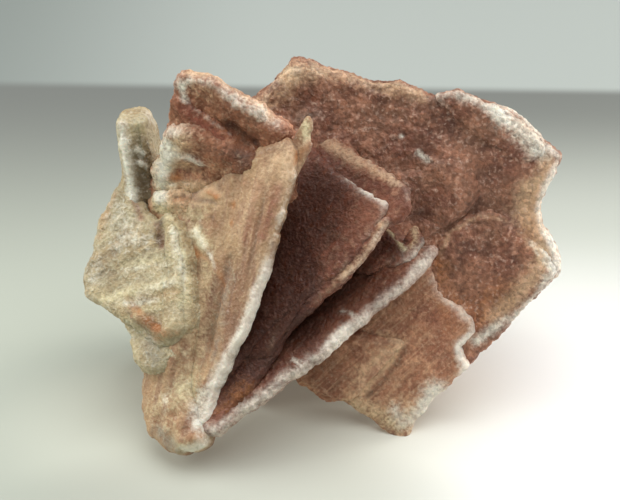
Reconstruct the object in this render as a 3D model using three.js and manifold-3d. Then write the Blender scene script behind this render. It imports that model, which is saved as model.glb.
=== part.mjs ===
/**
 * Barite specimen: a rosette of flat, druse-coated barite blades that grew through each other.
 *
 * Three blades fan out like the pages of a book from one spine at the front left. A thick
 * blade wraps the left side, two small blades and a broken upright slab stand behind it, and
 * a wide plate with a smaller one before it closes the back. Four more blades behind the wide
 * plate carry the rosette, so that it stands by itself on the worn feet of five blades.
 *
 * The crystals are intergrown, so the whole rosette is one solid.
 *
 * Millimetres and degrees. X is to the right, Y is to the back and Z is up. The origin is the
 * middle of the footprint, on the surface that the specimen stands on.
 */
import * as THREE from "three";
import { mergeVertices } from "three/addons/utils/BufferGeometryUtils.js";
import Module from "manifold-3d";

const wasm = await Module();
wasm.setup();

// Growth habit: what every blade shares.
const EDGE_STEP = 7; // longest straight stretch of a blade's broken edge
const CORNER_ROUNDING = 0.35; // 0 leaves an outline's corners sharp, 0.5 rounds them fully
const RAGGEDNESS = 0.55; // how far the broken edge wanders
const RAG_LENGTH = 3; // distance from one notch to the next
const RIM_WIDTH = 1.7; // how far the rounded crust of an edge reaches on to the face
const RIM_SHARE = 0.31; // height of the blunt edge over thickness, to each side
const SHOULDER_SHARE = 0.45; // the same where the rim meets the face
const MIDDLE_SHARE = 0.55; // place of a face's inner ring of points, from the middle to the edge
const WIDE_SHEET_POINTS = 22; // from this many edge points on, a sheet has that ring
const FACE_RELIEF = 0.45; // height of the low swells on a face
const SHOULDER_RELIEF = 0.27; // and where the rim meets the face
const SWELL_LENGTH = 11; // distance from one swell to the next

// The feet are ground flat on the surface, and the origin moves to the middle of the footprint.
const FOOT_DEPTH = 20; // more than any blade reaches below the surface
const FOOTPRINT_MIDDLE = [2.85, 0.94];

/**
 * A blade lies in its own plane through the point `at`. `turn` swings its front face from
 * straight ahead, to the left where negative, and `lean` tips the plate back. A blade is one
 * sheet or several laminae, each with an outline in the blade's plane (x to the right and y up
 * the slope, seen from its front), a thickness and a `lift` along the face's normal.
 */
const BLADES = {
  frontBlade: {
    at: [-24, -34, 13],
    turn: -42,
    lean: 26,
    sheets: [
      {
        // The cover of the fan: its free edge runs up the right side, x near 2.
        thickness: 3.6,
        outline: [
          [-5, 72.5], [-1, 71.5], [1.5, 68], [2, 60], [2.5, 50], [3, 40], [3, 33], [2, 25.5],
          [-0.5, 15], [-1.5, 8], [-1, 1], [-4, -6], [-12, -6], [-17, 6], [-23, 18], [-31, 32],
          [-34, 46], [-28, 57], [-20, 64], [-12, 69],
        ],
      },
      {
        // A thin lamina behind it, which ends in the topmost tip.
        thickness: 2.2,
        lift: -2.4,
        outline: [[0.5, 78], [2.6, 76], [3.4, 72], [2.8, 62], [2.4, 48], [-6, 40], [-12, 56], [-7, 68]],
      },
      {
        // The lumpy broken foot of the spine, below the left blade.
        thickness: 8,
        lift: 0.6,
        outline: [
          [-12, 21], [-19, 18.5], [-23.5, 12], [-22, 7], [-21, 1], [-17.5, -6.5], [-11.5, -9.8],
          [-4.5, -9.8], [0.5, -5], [-4, 2], [-7, 6], [-10, 14],
        ],
      },
    ],
  },
  secondBlade: {
    at: [-24, -34, 12],
    turn: -37,
    lean: 41,
    sheets: [
      {
        thickness: 2.6,
        outline: [
          [0.5, 0], [4, 7.5], [7.5, 16.5], [9.5, 26.5], [12.5, 35.5], [18, 44.5], [21, 54],
          [22.5, 60], [26, 63.5], [26.5, 67.5], [24, 70.5], [15, 73], [3.5, 75.5], [-8, 77.5],
          [-20, 72], [-31, 55], [-38, 36], [-36, 16], [-20, 2], [-6, -3],
        ],
      },
      {
        // The upper lamina, broken back along its top.
        thickness: 2.2,
        lift: 1.6,
        outline: [
          [2, 10], [8, 27], [11.5, 36], [17, 45], [20.5, 55], [20.5, 62], [15, 64.5],
          [8, 66.5], [-2, 71.5], [-10, 73], [-20, 62], [-26, 45], [-22, 22], [-10, 8],
        ],
      },
    ],
  },
  thirdBlade: {
    at: [-24, -34, 12],
    turn: -38,
    lean: 54,
    sheets: [
      {
        thickness: 4.2,
        outline: [
          [1, -1.5], [5.5, 5.5], [10, 13.5], [14, 21.5], [18.5, 31], [22.5, 41.5], [26.5, 50],
          [29, 56.5], [29, 63], [24, 61], [13, 66], [0, 66], [-14, 60], [-27, 44], [-34, 26],
          [-30, 8], [-15, -2],
        ],
      },
      {
        // A short flake that stands up at the outer corner.
        thickness: 1.8,
        lift: 2.6,
        outline: [[14, 52], [20, 56], [22, 65.5], [18, 68], [13, 64], [8, 54]],
      },
    ],
  },
  lowerPlate: {
    at: [24, -19, 0],
    turn: -4,
    lean: 20,
    sheets: [
      {
        thickness: 4,
        outline: [
          [3.5, 43.5], [5.5, 38.5], [11, 33], [15.5, 29.5], [16, 26.5], [13, 23], [14.5, 18],
          [12, 14.5], [6, 8.5], [2, 2], [0.5, -1.2], [-2.5, -1.2], [-10, 4], [-15.5, 7.5],
          [-20.5, 8], [-27, 12.5], [-34, 22], [-34, 36], [-24, 46], [-8, 49],
        ],
      },
      {
        // A raised sheet that ends in a square corner half way along the plate.
        thickness: 2.4,
        lift: 1.9,
        outline: [[-1, 22], [-12, 27], [-25, 31], [-31, 22], [-27, 13], [-20.5, 8.5], [-14, 9]],
      },
    ],
  },
  backPlate: {
    at: [0, 12, 76],
    turn: -6,
    lean: 15,
    sheets: [
      {
        thickness: 6,
        outline: [
          [-18, -12], [-13.5, 2], [-9, 5], [-5, 10.5], [0, 11], [8.5, 8.5], [15, 7], [22, 6.5],
          [29.5, 4], [36, 5], [43, 2.5], [50, 0.5], [56.5, -4.5], [61.5, -10], [58.5, -17],
          [57.5, -25], [63.5, -37], [56.5, -46], [47, -57], [41, -64], [35, -71], [30, -80],
          [17, -80], [8, -72], [-6, -62], [-15, -46], [-19, -30],
        ],
      },
      {
        // A raised sheet on the lower right, with a curved upper edge.
        thickness: 3,
        lift: 2.2,
        outline: [
          [47, -27], [54, -31.5], [62, -37.5], [56, -46], [47, -56.5], [41, -63], [27, -64],
          [21, -48], [31, -33], [40, -27.5],
        ],
      },
      {
        // A low swollen patch in the middle of the plate.
        thickness: 3.4,
        lift: 2,
        outline: [[20, -14], [31, -11], [40, -15], [42, -23], [35, -31], [24, -36], [12, -30]],
      },
      {
        // The thick druse ridge along the top right.
        thickness: 3.4,
        lift: 2.4,
        outline: [[33, 4.5], [42, 2.5], [51, -1.5], [59, -8], [57, -14], [47, -9], [36, -4]],
      },
      {
        // A lamina on the rear face.
        thickness: 3,
        lift: -2.6,
        outline: [
          [-11, 2], [4, 6], [18, 2], [30, 0], [39, -10], [33, -19], [37, -31], [22, -40],
          [4, -36], [-14, -28],
        ],
      },
      {
        // The swelling at the highest point.
        thickness: 4,
        lift: 1.8,
        outline: [[-9, 3.5], [-4, 9], [3, 8], [7, 0], [2, -10], [-9, -12], [-14, -4]],
      },
    ],
  },
  leftBlade: {
    at: [-29, -17, 38],
    turn: -32,
    lean: 36,
    sheets: [
      {
        thickness: 7,
        outline: [
          [-21, 23.5], [-28.5, 22], [-30.5, 13], [-30, 4], [-30, -2.5], [-28, -7], [-24, -8.5],
          [-18.5, -9.5], [-12, -11], [-5, -13], [0, -11.5], [3, -5], [0.5, 3], [-3, 11],
          [-8, 18], [-14, 23],
        ],
      },
      {
        // The ridge of thick crust that runs down from the upright slab.
        thickness: 5,
        lift: 2.4,
        outline: [[-15, 22], [-10, 17], [-4, 8], [-1, 1], [2, -7], [-2, -9], [-8, 3], [-15, 15]],
      },
      {
        // A step across the lower edge.
        thickness: 7,
        lift: -2.4,
        outline: [[-20, -7], [-13, -13], [-9, -19], [-3, -19], [2, -13], [3, -4], [-8, -3]],
      },
    ],
  },
  uprightSlab: {
    // It stands edge-on: its broken end looks to the front, and its face to the right.
    at: [-43.6, 2.5, 76.5],
    turn: 90,
    lean: 6,
    sheets: [
      {
        thickness: 8,
        outline: [
          [-1, -32], [-0.5, -15], [1, -2], [4, 1], [11, -1], [18, -8], [23, -22], [20, -38],
          [6, -48], [-1, -44],
        ],
      },
    ],
  },
  upperBlade: {
    at: [-31, 1, 86],
    turn: -20,
    lean: -12,
    sheets: [
      {
        thickness: 4.4,
        outline: [
          [-0.5, 3], [4.5, 5], [11, 3.5], [16.5, 0.5], [21, -2], [23, -5], [26, -6.5],
          [28, -12], [32, -30], [22, -48], [2, -52], [-8, -38], [-3, -20], [-1, -11],
        ],
      },
    ],
  },
  innerBlade: {
    at: [-31, -1, 76],
    turn: -18,
    lean: -11,
    sheets: [
      {
        thickness: 5,
        outline: [
          [-3.5, -2], [0, 1], [3, 5.5], [6, 6.5], [10.5, 5], [15, -0.5], [21, -3.5], [28, -12],
          [27, -38], [6, -48], [-8, -42], [-9.5, -22], [-6, -8],
        ],
      },
      {
        // A curled lip of stained crust where this blade meets the front one.
        thickness: 4.4,
        lift: 3.4,
        outline: [[-8, -21], [-1, -17], [7, -21], [9, -29], [0, -36], [-8, -34]],
      },
    ],
  },
  rootBlade: {
    at: [-17, 0, 0],
    turn: -60,
    lean: 14,
    sheets: [
      {
        thickness: 6,
        outline: [[-8, -1.5], [6, -1.5], [14, 12], [15, 30], [2, 46], [-14, 40], [-16, 16]],
      },
    ],
  },
  rearProp: {
    at: [-4, 34, 0],
    turn: 168,
    lean: 30,
    sheets: [
      {
        thickness: 5.4,
        outline: [
          [-13, -1.5], [9, -1.5], [17, 4], [29, 21], [25, 31], [27, 41], [15, 48], [12, 60],
          [0, 67], [-15, 59], [-24, 55], [-28, 37], [-25, 22], [-27, 12],
        ],
      },
      {
        thickness: 3,
        lift: 2.4,
        outline: [[-24, 14], [-6, 9], [7, 24], [3, 33], [6, 44], [-9, 54], [-22, 50], [-25, 36]],
      },
    ],
  },
  rearFin: {
    at: [24, 8, 10],
    turn: 74,
    lean: 10,
    sheets: [
      {
        thickness: 5,
        outline: [
          [-6, -4], [4, -11.5], [14, -11.5], [22, -5], [31, 12], [28, 22], [31, 34], [19, 42],
          [14, 52], [0, 58], [-8, 44],
        ],
      },
      {
        thickness: 2.6,
        lift: -2.4,
        outline: [[2, -8], [14, -6], [22, 9], [19, 24], [20, 36], [8, 44], [-4, 36], [-4, 4]],
      },
    ],
  },
  rearLeftBlade: {
    at: [-27, 22, 20],
    turn: -152,
    lean: 28,
    sheets: [
      {
        thickness: 5,
        outline: [
          [-15, -21], [2, -24], [12, -21], [17, -9], [25, -1], [20, 11], [22, 22], [9, 34],
          [-5, 41], [-17, 33], [-18, 19], [-27, 7], [-22, -8],
        ],
      },
      {
        thickness: 2.8,
        lift: 2.2,
        outline: [[-13, -14], [4, -18], [13, -4], [11, 9], [14, 19], [2, 28], [-9, 22], [-19, 6]],
      },
    ],
  },
};

/** A repeatable number from 0 to 1 for a lattice point. */
function hash(ix, iy, seed) {
  const value = Math.sin(ix * 127.1 + iy * 311.7 + seed * 74.7) * 43758.5453;
  return value - Math.floor(value);
}

/** Smooth value noise from -1 to 1, with one swell to each unit. */
function swell(x, y, seed) {
  const ix = Math.floor(x);
  const iy = Math.floor(y);
  const fx = THREE.MathUtils.smoothstep(x - ix, 0, 1);
  const fy = THREE.MathUtils.smoothstep(y - iy, 0, 1);
  const near = THREE.MathUtils.lerp(hash(ix, iy, seed), hash(ix + 1, iy, seed), fx);
  const far = THREE.MathUtils.lerp(hash(ix, iy + 1, seed), hash(ix + 1, iy + 1, seed), fx);
  return 2 * THREE.MathUtils.lerp(near, far, fy) - 1;
}

/** The broken edge of a sheet: its outline with eased corners, and steps between the corners. */
function brokenEdge(outline, seed) {
  const corners = outline.map(([x, y]) => new THREE.Vector3(x, y, 0));
  const curve = new THREE.CatmullRomCurve3(corners, true, "catmullrom", CORNER_ROUNDING);
  const points = corners.flatMap((corner, i) => {
    const steps = Math.max(1, Math.round(corner.distanceTo(corners[(i + 1) % corners.length]) / EDGE_STEP));
    return Array.from({ length: steps }, (_, step) => curve.getPoint((i + step / steps) / corners.length));
  });
  const centre = new THREE.Vector3();
  for (const point of points) centre.addScaledVector(point, 1 / points.length);
  for (const point of points) {
    const outwards = point.clone().sub(centre).normalize();
    const notch = swell(point.x / RAG_LENGTH, point.y / RAG_LENGTH, seed);
    point.addScaledVector(outwards, RAGGEDNESS * notch);
  }
  // Counter-clockwise seen from the front, so that the faces point out.
  if (THREE.ShapeUtils.area(points) < 0) points.reverse();
  return { points, centre };
}

/**
 * One sheet as a closed shell: rings of points from the middle of the front face, out over the
 * rounded rim, and back to the middle of the rear face.
 */
function sheetGeometry({ outline, thickness, lift = 0 }, seed) {
  const { points, centre } = brokenEdge(outline, seed);
  const half = thickness / 2;
  const inner = { share: MIDDLE_SHARE, height: half, relief: FACE_RELIEF };
  const shoulder = { inset: RIM_WIDTH, height: thickness * SHOULDER_SHARE, relief: SHOULDER_RELIEF };
  const edge = { inset: 0, height: thickness * RIM_SHARE, relief: 0 };
  const frontRings = points.length >= WIDE_SHEET_POINTS ? [inner, shoulder, edge] : [shoulder, edge];
  const rearRings = frontRings.map((ring) => ({ ...ring, height: -ring.height })).reverse();
  const rings = [...frontRings, ...rearRings];

  const vertices = [];
  const addVertex = (point, height, relief) => {
    const side = Math.sign(height);
    const rise = relief * swell(point.x / SWELL_LENGTH, point.y / SWELL_LENGTH, seed + side);
    vertices.push(point.x, point.y, lift + height + side * rise);
    return vertices.length / 3 - 1;
  };
  const front = addVertex(centre, half, FACE_RELIEF);
  for (const { share, inset, height, relief } of rings) {
    for (const point of points) {
      const spoke = point.clone().sub(centre);
      const reach = share ?? 1 - inset / spoke.length();
      addVertex(centre.clone().addScaledVector(spoke, reach), height, relief);
    }
  }
  const rear = addVertex(centre, -half, FACE_RELIEF);

  const triangles = [];
  const count = points.length;
  const corner = (ring, i) => 1 + ring * count + (i % count);
  for (let i = 0; i < count; i++) {
    triangles.push(front, corner(0, i), corner(0, i + 1));
    for (let ring = 0; ring + 1 < rings.length; ring++) {
      triangles.push(corner(ring, i), corner(ring + 1, i), corner(ring + 1, i + 1));
      triangles.push(corner(ring, i), corner(ring + 1, i + 1), corner(ring, i + 1));
    }
    triangles.push(rear, corner(rings.length - 1, i + 1), corner(rings.length - 1, i));
  }
  const geometry = new THREE.BufferGeometry();
  geometry.setAttribute("position", new THREE.Float32BufferAttribute(vertices, 3));
  geometry.setIndex(triangles);
  return geometry;
}

/** Where a blade's plane stands: x along it to the right, y up its slope and z out of its face. */
function bladeMatrix({ at, turn, lean }) {
  const upright = new THREE.Matrix4().makeRotationX(THREE.MathUtils.degToRad(90 - lean));
  const swung = new THREE.Matrix4().makeRotationZ(THREE.MathUtils.degToRad(turn));
  return new THREE.Matrix4().makeTranslation(...at).multiply(swung).multiply(upright);
}

/** A closed three.js geometry as a solid that can be joined and cut. */
function toSolid(geometry) {
  const bare = geometry.clone();
  bare.deleteAttribute("normal");
  bare.deleteAttribute("uv");
  const merged = mergeVertices(bare, 1e-4);
  return new wasm.Manifold(
    new wasm.Mesh({
      numProp: 3,
      vertProperties: merged.attributes.position.array,
      triVerts: new Uint32Array(merged.index.array),
    }),
  );
}

/**
 * The corners of the outer surface alone. Where laminae cross, they can shut in a pocket of a
 * few cubic millimetres, whose walls touch no other triangle: without them, it is solid.
 */
function outerSurface(corners, vertexCount) {
  const links = Array.from({ length: vertexCount }, (_, i) => i);
  const root = (i) => {
    while (links[i] !== i) i = links[i] = links[links[i]];
    return i;
  };
  for (let i = 0; i < corners.length; i += 3) {
    links[root(corners[i])] = root(corners[i + 1]);
    links[root(corners[i + 1])] = root(corners[i + 2]);
  }
  const sizes = new Map();
  for (const corner of corners) sizes.set(root(corner), (sizes.get(root(corner)) ?? 0) + 1);
  const [outer] = [...sizes].reduce((most, entry) => (entry[1] > most[1] ? entry : most));
  return corners.filter((corner) => root(corner) === outer);
}

/** A solid as a three.js geometry, with flat faces. */
function toGeometry(solid) {
  const { vertProperties, triVerts } = solid.getMesh();
  const corners = outerSurface(triVerts, vertProperties.length / 3);
  const geometry = new THREE.BufferGeometry();
  geometry.setAttribute("position", new THREE.BufferAttribute(vertProperties, 3));
  geometry.setIndex(new THREE.BufferAttribute(corners, 1));
  const faceted = geometry.toNonIndexed();
  faceted.computeVertexNormals();
  return faceted;
}

/** All blades grown together, before the feet are ground. */
function grownCluster() {
  const solids = Object.values(BLADES).flatMap((blade, bladeIndex) =>
    blade.sheets.map((sheet, sheetIndex) => {
      const seed = 1 + bladeIndex * 7 + sheetIndex;
      return toSolid(sheetGeometry(sheet, seed).applyMatrix4(bladeMatrix(blade)));
    }),
  );
  return solids.reduce((cluster, solid) => cluster.add(solid));
}

/** Everything below the surface that the specimen stands on. */
function belowSurface() {
  const span = 400;
  const slab = new THREE.BoxGeometry(span, span, FOOT_DEPTH);
  return toSolid(slab.translate(0, 0, -FOOT_DEPTH / 2));
}

const crust = new THREE.MeshStandardMaterial({ color: 0x9d7563, roughness: 0.72, metalness: 0 });

const cluster = toGeometry(grownCluster().subtract(belowSurface()));
cluster.translate(-FOOTPRINT_MIDDLE[0], -FOOTPRINT_MIDDLE[1], 0);
const bariteBlades = new THREE.Mesh(cluster, crust);
bariteBlades.name = "barite_blades";

const specimen = new THREE.Group();
specimen.add(bariteBlades);

export default specimen;
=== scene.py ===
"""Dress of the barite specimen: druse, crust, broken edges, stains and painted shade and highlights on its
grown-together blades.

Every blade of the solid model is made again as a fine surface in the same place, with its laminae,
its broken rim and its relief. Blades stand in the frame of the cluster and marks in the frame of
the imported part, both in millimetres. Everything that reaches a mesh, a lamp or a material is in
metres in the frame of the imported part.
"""

import logging
import math
from collections.abc import Sequence
from dataclasses import dataclass, field
from enum import Enum

import bpy
import numpy as np
from mathutils import Euler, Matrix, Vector


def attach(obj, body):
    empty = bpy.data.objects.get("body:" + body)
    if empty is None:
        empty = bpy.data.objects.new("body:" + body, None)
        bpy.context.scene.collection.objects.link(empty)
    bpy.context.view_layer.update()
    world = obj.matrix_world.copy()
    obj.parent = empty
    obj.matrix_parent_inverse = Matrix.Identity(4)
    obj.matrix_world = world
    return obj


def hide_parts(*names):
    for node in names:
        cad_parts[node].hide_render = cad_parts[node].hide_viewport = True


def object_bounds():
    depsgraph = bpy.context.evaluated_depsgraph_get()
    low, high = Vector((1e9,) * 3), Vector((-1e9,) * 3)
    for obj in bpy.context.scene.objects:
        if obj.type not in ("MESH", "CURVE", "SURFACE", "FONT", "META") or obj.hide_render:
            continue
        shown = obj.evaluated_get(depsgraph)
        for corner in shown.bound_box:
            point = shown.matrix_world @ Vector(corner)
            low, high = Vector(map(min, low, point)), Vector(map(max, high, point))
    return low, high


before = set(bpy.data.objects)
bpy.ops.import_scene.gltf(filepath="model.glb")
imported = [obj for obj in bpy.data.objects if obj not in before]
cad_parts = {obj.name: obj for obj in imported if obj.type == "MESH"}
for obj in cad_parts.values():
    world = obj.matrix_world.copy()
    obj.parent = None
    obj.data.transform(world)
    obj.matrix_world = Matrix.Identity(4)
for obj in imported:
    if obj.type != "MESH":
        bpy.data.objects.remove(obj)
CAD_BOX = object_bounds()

log = logging.getLogger("barite")

MM = 0.001
BODY = "root"
NODE = "barite_blades"

# Growth habit, as in the solid: what every blade shares.
FOOTPRINT_MIDDLE = np.array([2.85, 0.94, 0.0])
CORNER_ROUNDING = 0.35
RAGGEDNESS = 0.55
RAG_LENGTH = 3.0
RIM_SHARE = 0.31
SWELL_LENGTH = 11.0
SWELL_HEIGHT = 0.40

# How a sheet is drawn.
CORNER_SAMPLES = 40
RADIAL_CROWDING = 0.35
RIM_FALL = 0.9
RIM_BULGE = 0.25
RIM_TILT = 0.6
FACE_TILT = 0.7
SETTLED_INSET = 2.5
BOX_MARGIN = 0.02
# Finer notches of the broken edge: height, length and step of the seed.
FINE_NOTCHES = ((0.28, 1.3, 3), (0.13, 0.6, 5))
# Fibres on the broken edge, and how far in the druse is calmer.
FIBRE_WIDTH = 0.9
FIBRE_LENGTH = 5.0
CALM_INSET = 1.1
# The druse: seeds of its lumps, knobs and grains, and the level and gain of the knobs and the grains.
LUMP_SEED, KNOB_SEED, GRAIN_SEED = 11, 23, 37
KNOB_LEVEL, KNOB_GAIN = 0.35, 1.6
GRAIN_LEVEL, GRAIN_GAIN = 0.3, 1.5
# From a sheet's seed to its fibres' seed, and how deep a streak reaches.
FIBRE_SEED_STEP = 51
STREAK_DEPTH = 4.0
# Where the front ends on the rim, from 1 in front to −1 in the rear.
FRONT_END = 0.6
# How many directions a slab's edge is known in, and how often the edge's direction is smoothed.
SLAB_BEARINGS = 360
EDGE_SMOOTHINGS = 3

Points = np.ndarray
Values = np.ndarray
Outline = list[tuple[float, float]]
Place = tuple[float, float, float]
# What a node's input takes: a socket to link it to, or a plain value.
Feed = bpy.types.NodeSocket | float | tuple[float, ...]
# A smooth rise: what it depends on, where it starts and ends, and its values at the start and the end.
Rise = tuple[Feed, float, float, float, float]


# Noise on whole arrays of points


def lattice(cells: np.ndarray, seed: int) -> Values:
    """Give each whole-numbered cell a repeatable number.

    The three numbers of the cell are multiplied by large primes, joined by exclusive or and
    scrambled twice by a shift and a product.

    Args:
        cells: Whole numbers, shape (n, 3).
        seed: Which pattern it is.

    Returns:
        Numbers from 0 to 1, shape (n,).
    """
    c = cells.astype(np.int64).astype(np.uint32)
    h = c[:, 0] * np.uint32(73856093) ^ c[:, 1] * np.uint32(19349663)
    h ^= c[:, 2] * np.uint32(83492791) ^ np.uint32((seed * 2654435761) & 0xFFFFFFFF)
    h = (h ^ (h >> np.uint32(16))) * np.uint32(0x7FEB352D)
    h = (h ^ (h >> np.uint32(15))) * np.uint32(0x846CA68B)
    h ^= h >> np.uint32(16)
    return h.astype(np.float32) / np.float32(4294967295.0)


def smooth_noise(points: Points, length: float, seed: int) -> Values:
    """Value noise: random numbers on a cubic lattice, blended by 3t² − 2t³ in between.

    Args:
        points: Places in millimetres, shape (n, 3).
        length: Distance from one swell to the next.
        seed: Which pattern it is.

    Returns:
        Numbers from −1 to 1, shape (n,).
    """
    scaled = points / length + seed * 0.371
    base = np.floor(scaled)
    t = (scaled - base).astype(np.float32)
    t = t * t * (3 - 2 * t)
    total = np.zeros(len(points), np.float32)
    for corner in np.ndindex(2, 2, 2):
        weight = np.prod(np.where(corner, t, 1 - t), axis=1)
        total += weight * lattice(base + np.array(corner), seed)
    return 2 * total - 1


# A turn between octaves, so that their lattices don't line up.
OCTAVE_TURN = np.array([[0.00, 0.80, 0.60], [-0.80, 0.36, -0.48], [-0.60, -0.48, 0.64]])


def layered_noise(points: Points, length: float, octaves: int, seed: int, gain: float = 0.5) -> Values:
    """Sum of smooth noises, each with half the length of the one before and gain times its height.

    Args:
        points: Places in millimetres, shape (n, 3).
        length: Distance from one swell to the next in the coarsest layer.
        octaves: How many layers there are.
        seed: Which pattern it is.
        gain: Height of each layer over the one before.

    Returns:
        Numbers of about −1 to 1, shape (n,).
    """
    total = np.zeros(len(points), np.float32)
    turned = points
    height = 1.0
    for octave in range(octaves):
        total += height * smooth_noise(turned, length * 0.5**octave, seed + 13 * octave)
        turned = turned @ OCTAVE_TURN
        height *= gain
    return total


def grain_heights(points: Points, size: float, seed: int) -> Values:
    """Small crystals side by side: height 1 at a crystal's middle, down in a cone to the next one.

    Each cell of a cubic lattice holds one crystal at a random place, and a point takes
    1 − its distance to the nearest crystal over the cell's size, no less than 0.

    Args:
        points: Places in millimetres, shape (n, 3).
        size: Size of a crystal.
        seed: Which pattern it is.

    Returns:
        Heights from 0 to 1, shape (n,).
    """
    scaled = points / size
    base = np.floor(scaled)
    within = (scaled - base).astype(np.float32)
    nearest = np.full(len(points), 9.0, np.float32)
    for step in np.ndindex(3, 3, 3):
        offset = np.array(step) - 1
        cells = base + offset
        gap = np.zeros(len(points), np.float32)
        for axis in range(3):
            middle = lattice(cells, seed + 101 * axis) * 0.8 + 0.1
            gap += (offset[axis] + middle - within[:, axis]) ** 2
        np.minimum(nearest, gap, out=nearest)
    return np.clip(1 - np.sqrt(nearest), 0, 1)


def flat_hash(ix: Values, iy: Values, seed: float) -> Values:
    """The solid's number for a lattice point: fraction of 43758.5453 sin(127.1 x + 311.7 y + 74.7 seed)."""
    value = np.sin(ix * 127.1 + iy * 311.7 + seed * 74.7) * 43758.5453
    return value - np.floor(value)


def flat_swell(x: Values, y: Values, seed: float) -> Values:
    """The solid's own swells: flat_hash on a square lattice, blended by 3t² − 2t³, from −1 to 1.

    Args:
        x: Places along the sheet, in swells.
        y: Places up the sheet, in swells.
        seed: Which sheet and face it is.

    Returns:
        Numbers from −1 to 1.
    """
    ix, iy = np.floor(x), np.floor(y)
    fx, fy = x - ix, y - iy
    fx = fx * fx * (3 - 2 * fx)
    fy = fy * fy * (3 - 2 * fy)
    near = flat_hash(ix, iy, seed) * (1 - fx) + flat_hash(ix + 1, iy, seed) * fx
    far = flat_hash(ix, iy + 1, seed) * (1 - fx) + flat_hash(ix + 1, iy + 1, seed) * fx
    return 2 * (near * (1 - fy) + far * fy) - 1


def eased(values: Values, low: float, high: float) -> Values:
    """Rise from 0 at low to 1 at high by 3t² − 2t³."""
    t = np.clip((values - low) / (high - low), 0, 1)
    return t * t * (3 - 2 * t)


# Materials


def colour(hex_code: str) -> tuple[float, float, float, float]:
    """Turn an sRGB hex code into a linear colour.

    Args:
        hex_code: Such as "#c8b090".

    Returns:
        Red, green and blue from 0 to 1, and 1.
    """
    parts = [int(hex_code[i : i + 2], 16) / 255 for i in (1, 3, 5)]
    linear = [p / 12.92 if p <= 0.04045 else ((p + 0.055) / 1.055) ** 2.4 for p in parts]
    return (*linear, 1.0)


class Graph:
    """The nodes of one material."""

    def __init__(self, name: str) -> None:
        """Start an empty material.

        Args:
            name: The material's name.
        """
        self.material = bpy.data.materials.new(name)
        self.material.use_nodes = True
        self.tree = self.material.node_tree
        self.tree.nodes.clear()

    def add(
        self, kind: str, links: dict[str | int, Feed] | None = None, **settings: object
    ) -> bpy.types.Node:
        """Add a node.

        Args:
            kind: The node's type.
            links: For each input, a socket to link it to or a plain value.
            settings: The node's own properties.

        Returns:
            The node.
        """
        node = self.tree.nodes.new(kind)
        for key, value in settings.items():
            setattr(node, key, value)
        for key, value in (links or {}).items():
            socket = node.inputs[key]
            if isinstance(value, bpy.types.NodeSocket):
                self.tree.links.new(value, socket)
            else:
                socket.default_value = value
        return node

    def layer(self, base: Feed, tone: Feed, rises: Sequence[Rise]) -> bpy.types.NodeSocket:
        """Lay a tone over a base, by a share that is the product of smooth rises.

        Args:
            base: The colour so far.
            tone: The colour that lies over it where the share is 1.
            rises: Each factor of the share.

        Returns:
            The new colour.
        """
        share: Feed = 1.0
        for rise in rises:
            links = dict(enumerate(rise))
            factor = self.add("ShaderNodeMapRange", links, interpolation_type="SMOOTHSTEP").outputs[0]
            share = self.add("ShaderNodeMath", {0: share, 1: factor}, operation="MULTIPLY").outputs[0]
        links = {0: share, 6: base, 7: tone}
        return self.add("ShaderNodeMix", links, data_type="RGBA", clamp_factor=True).outputs[2]


# The stains and the painted shade and highlights, each over the ones before: its tone and the most that it
# covers.
STAIN_AND_SHADE_TONES = {
    "cream": ("#ddd0a6", 0.85),
    "tan": ("#dcba95", 0.85),
    "grey": ("#948d80", 0.8),
    # Partly stain, partly painted shade and shadow.
    "dark_and_shade": ("#361307", 0.85),
    "rust": ("#b0703a", 0.8),
    "red": ("#8a4534", 0.8),
    "glass": ("#6b5a40", 0.75),
    "pale": ("#f1ecdd", 0.9),
}


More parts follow.
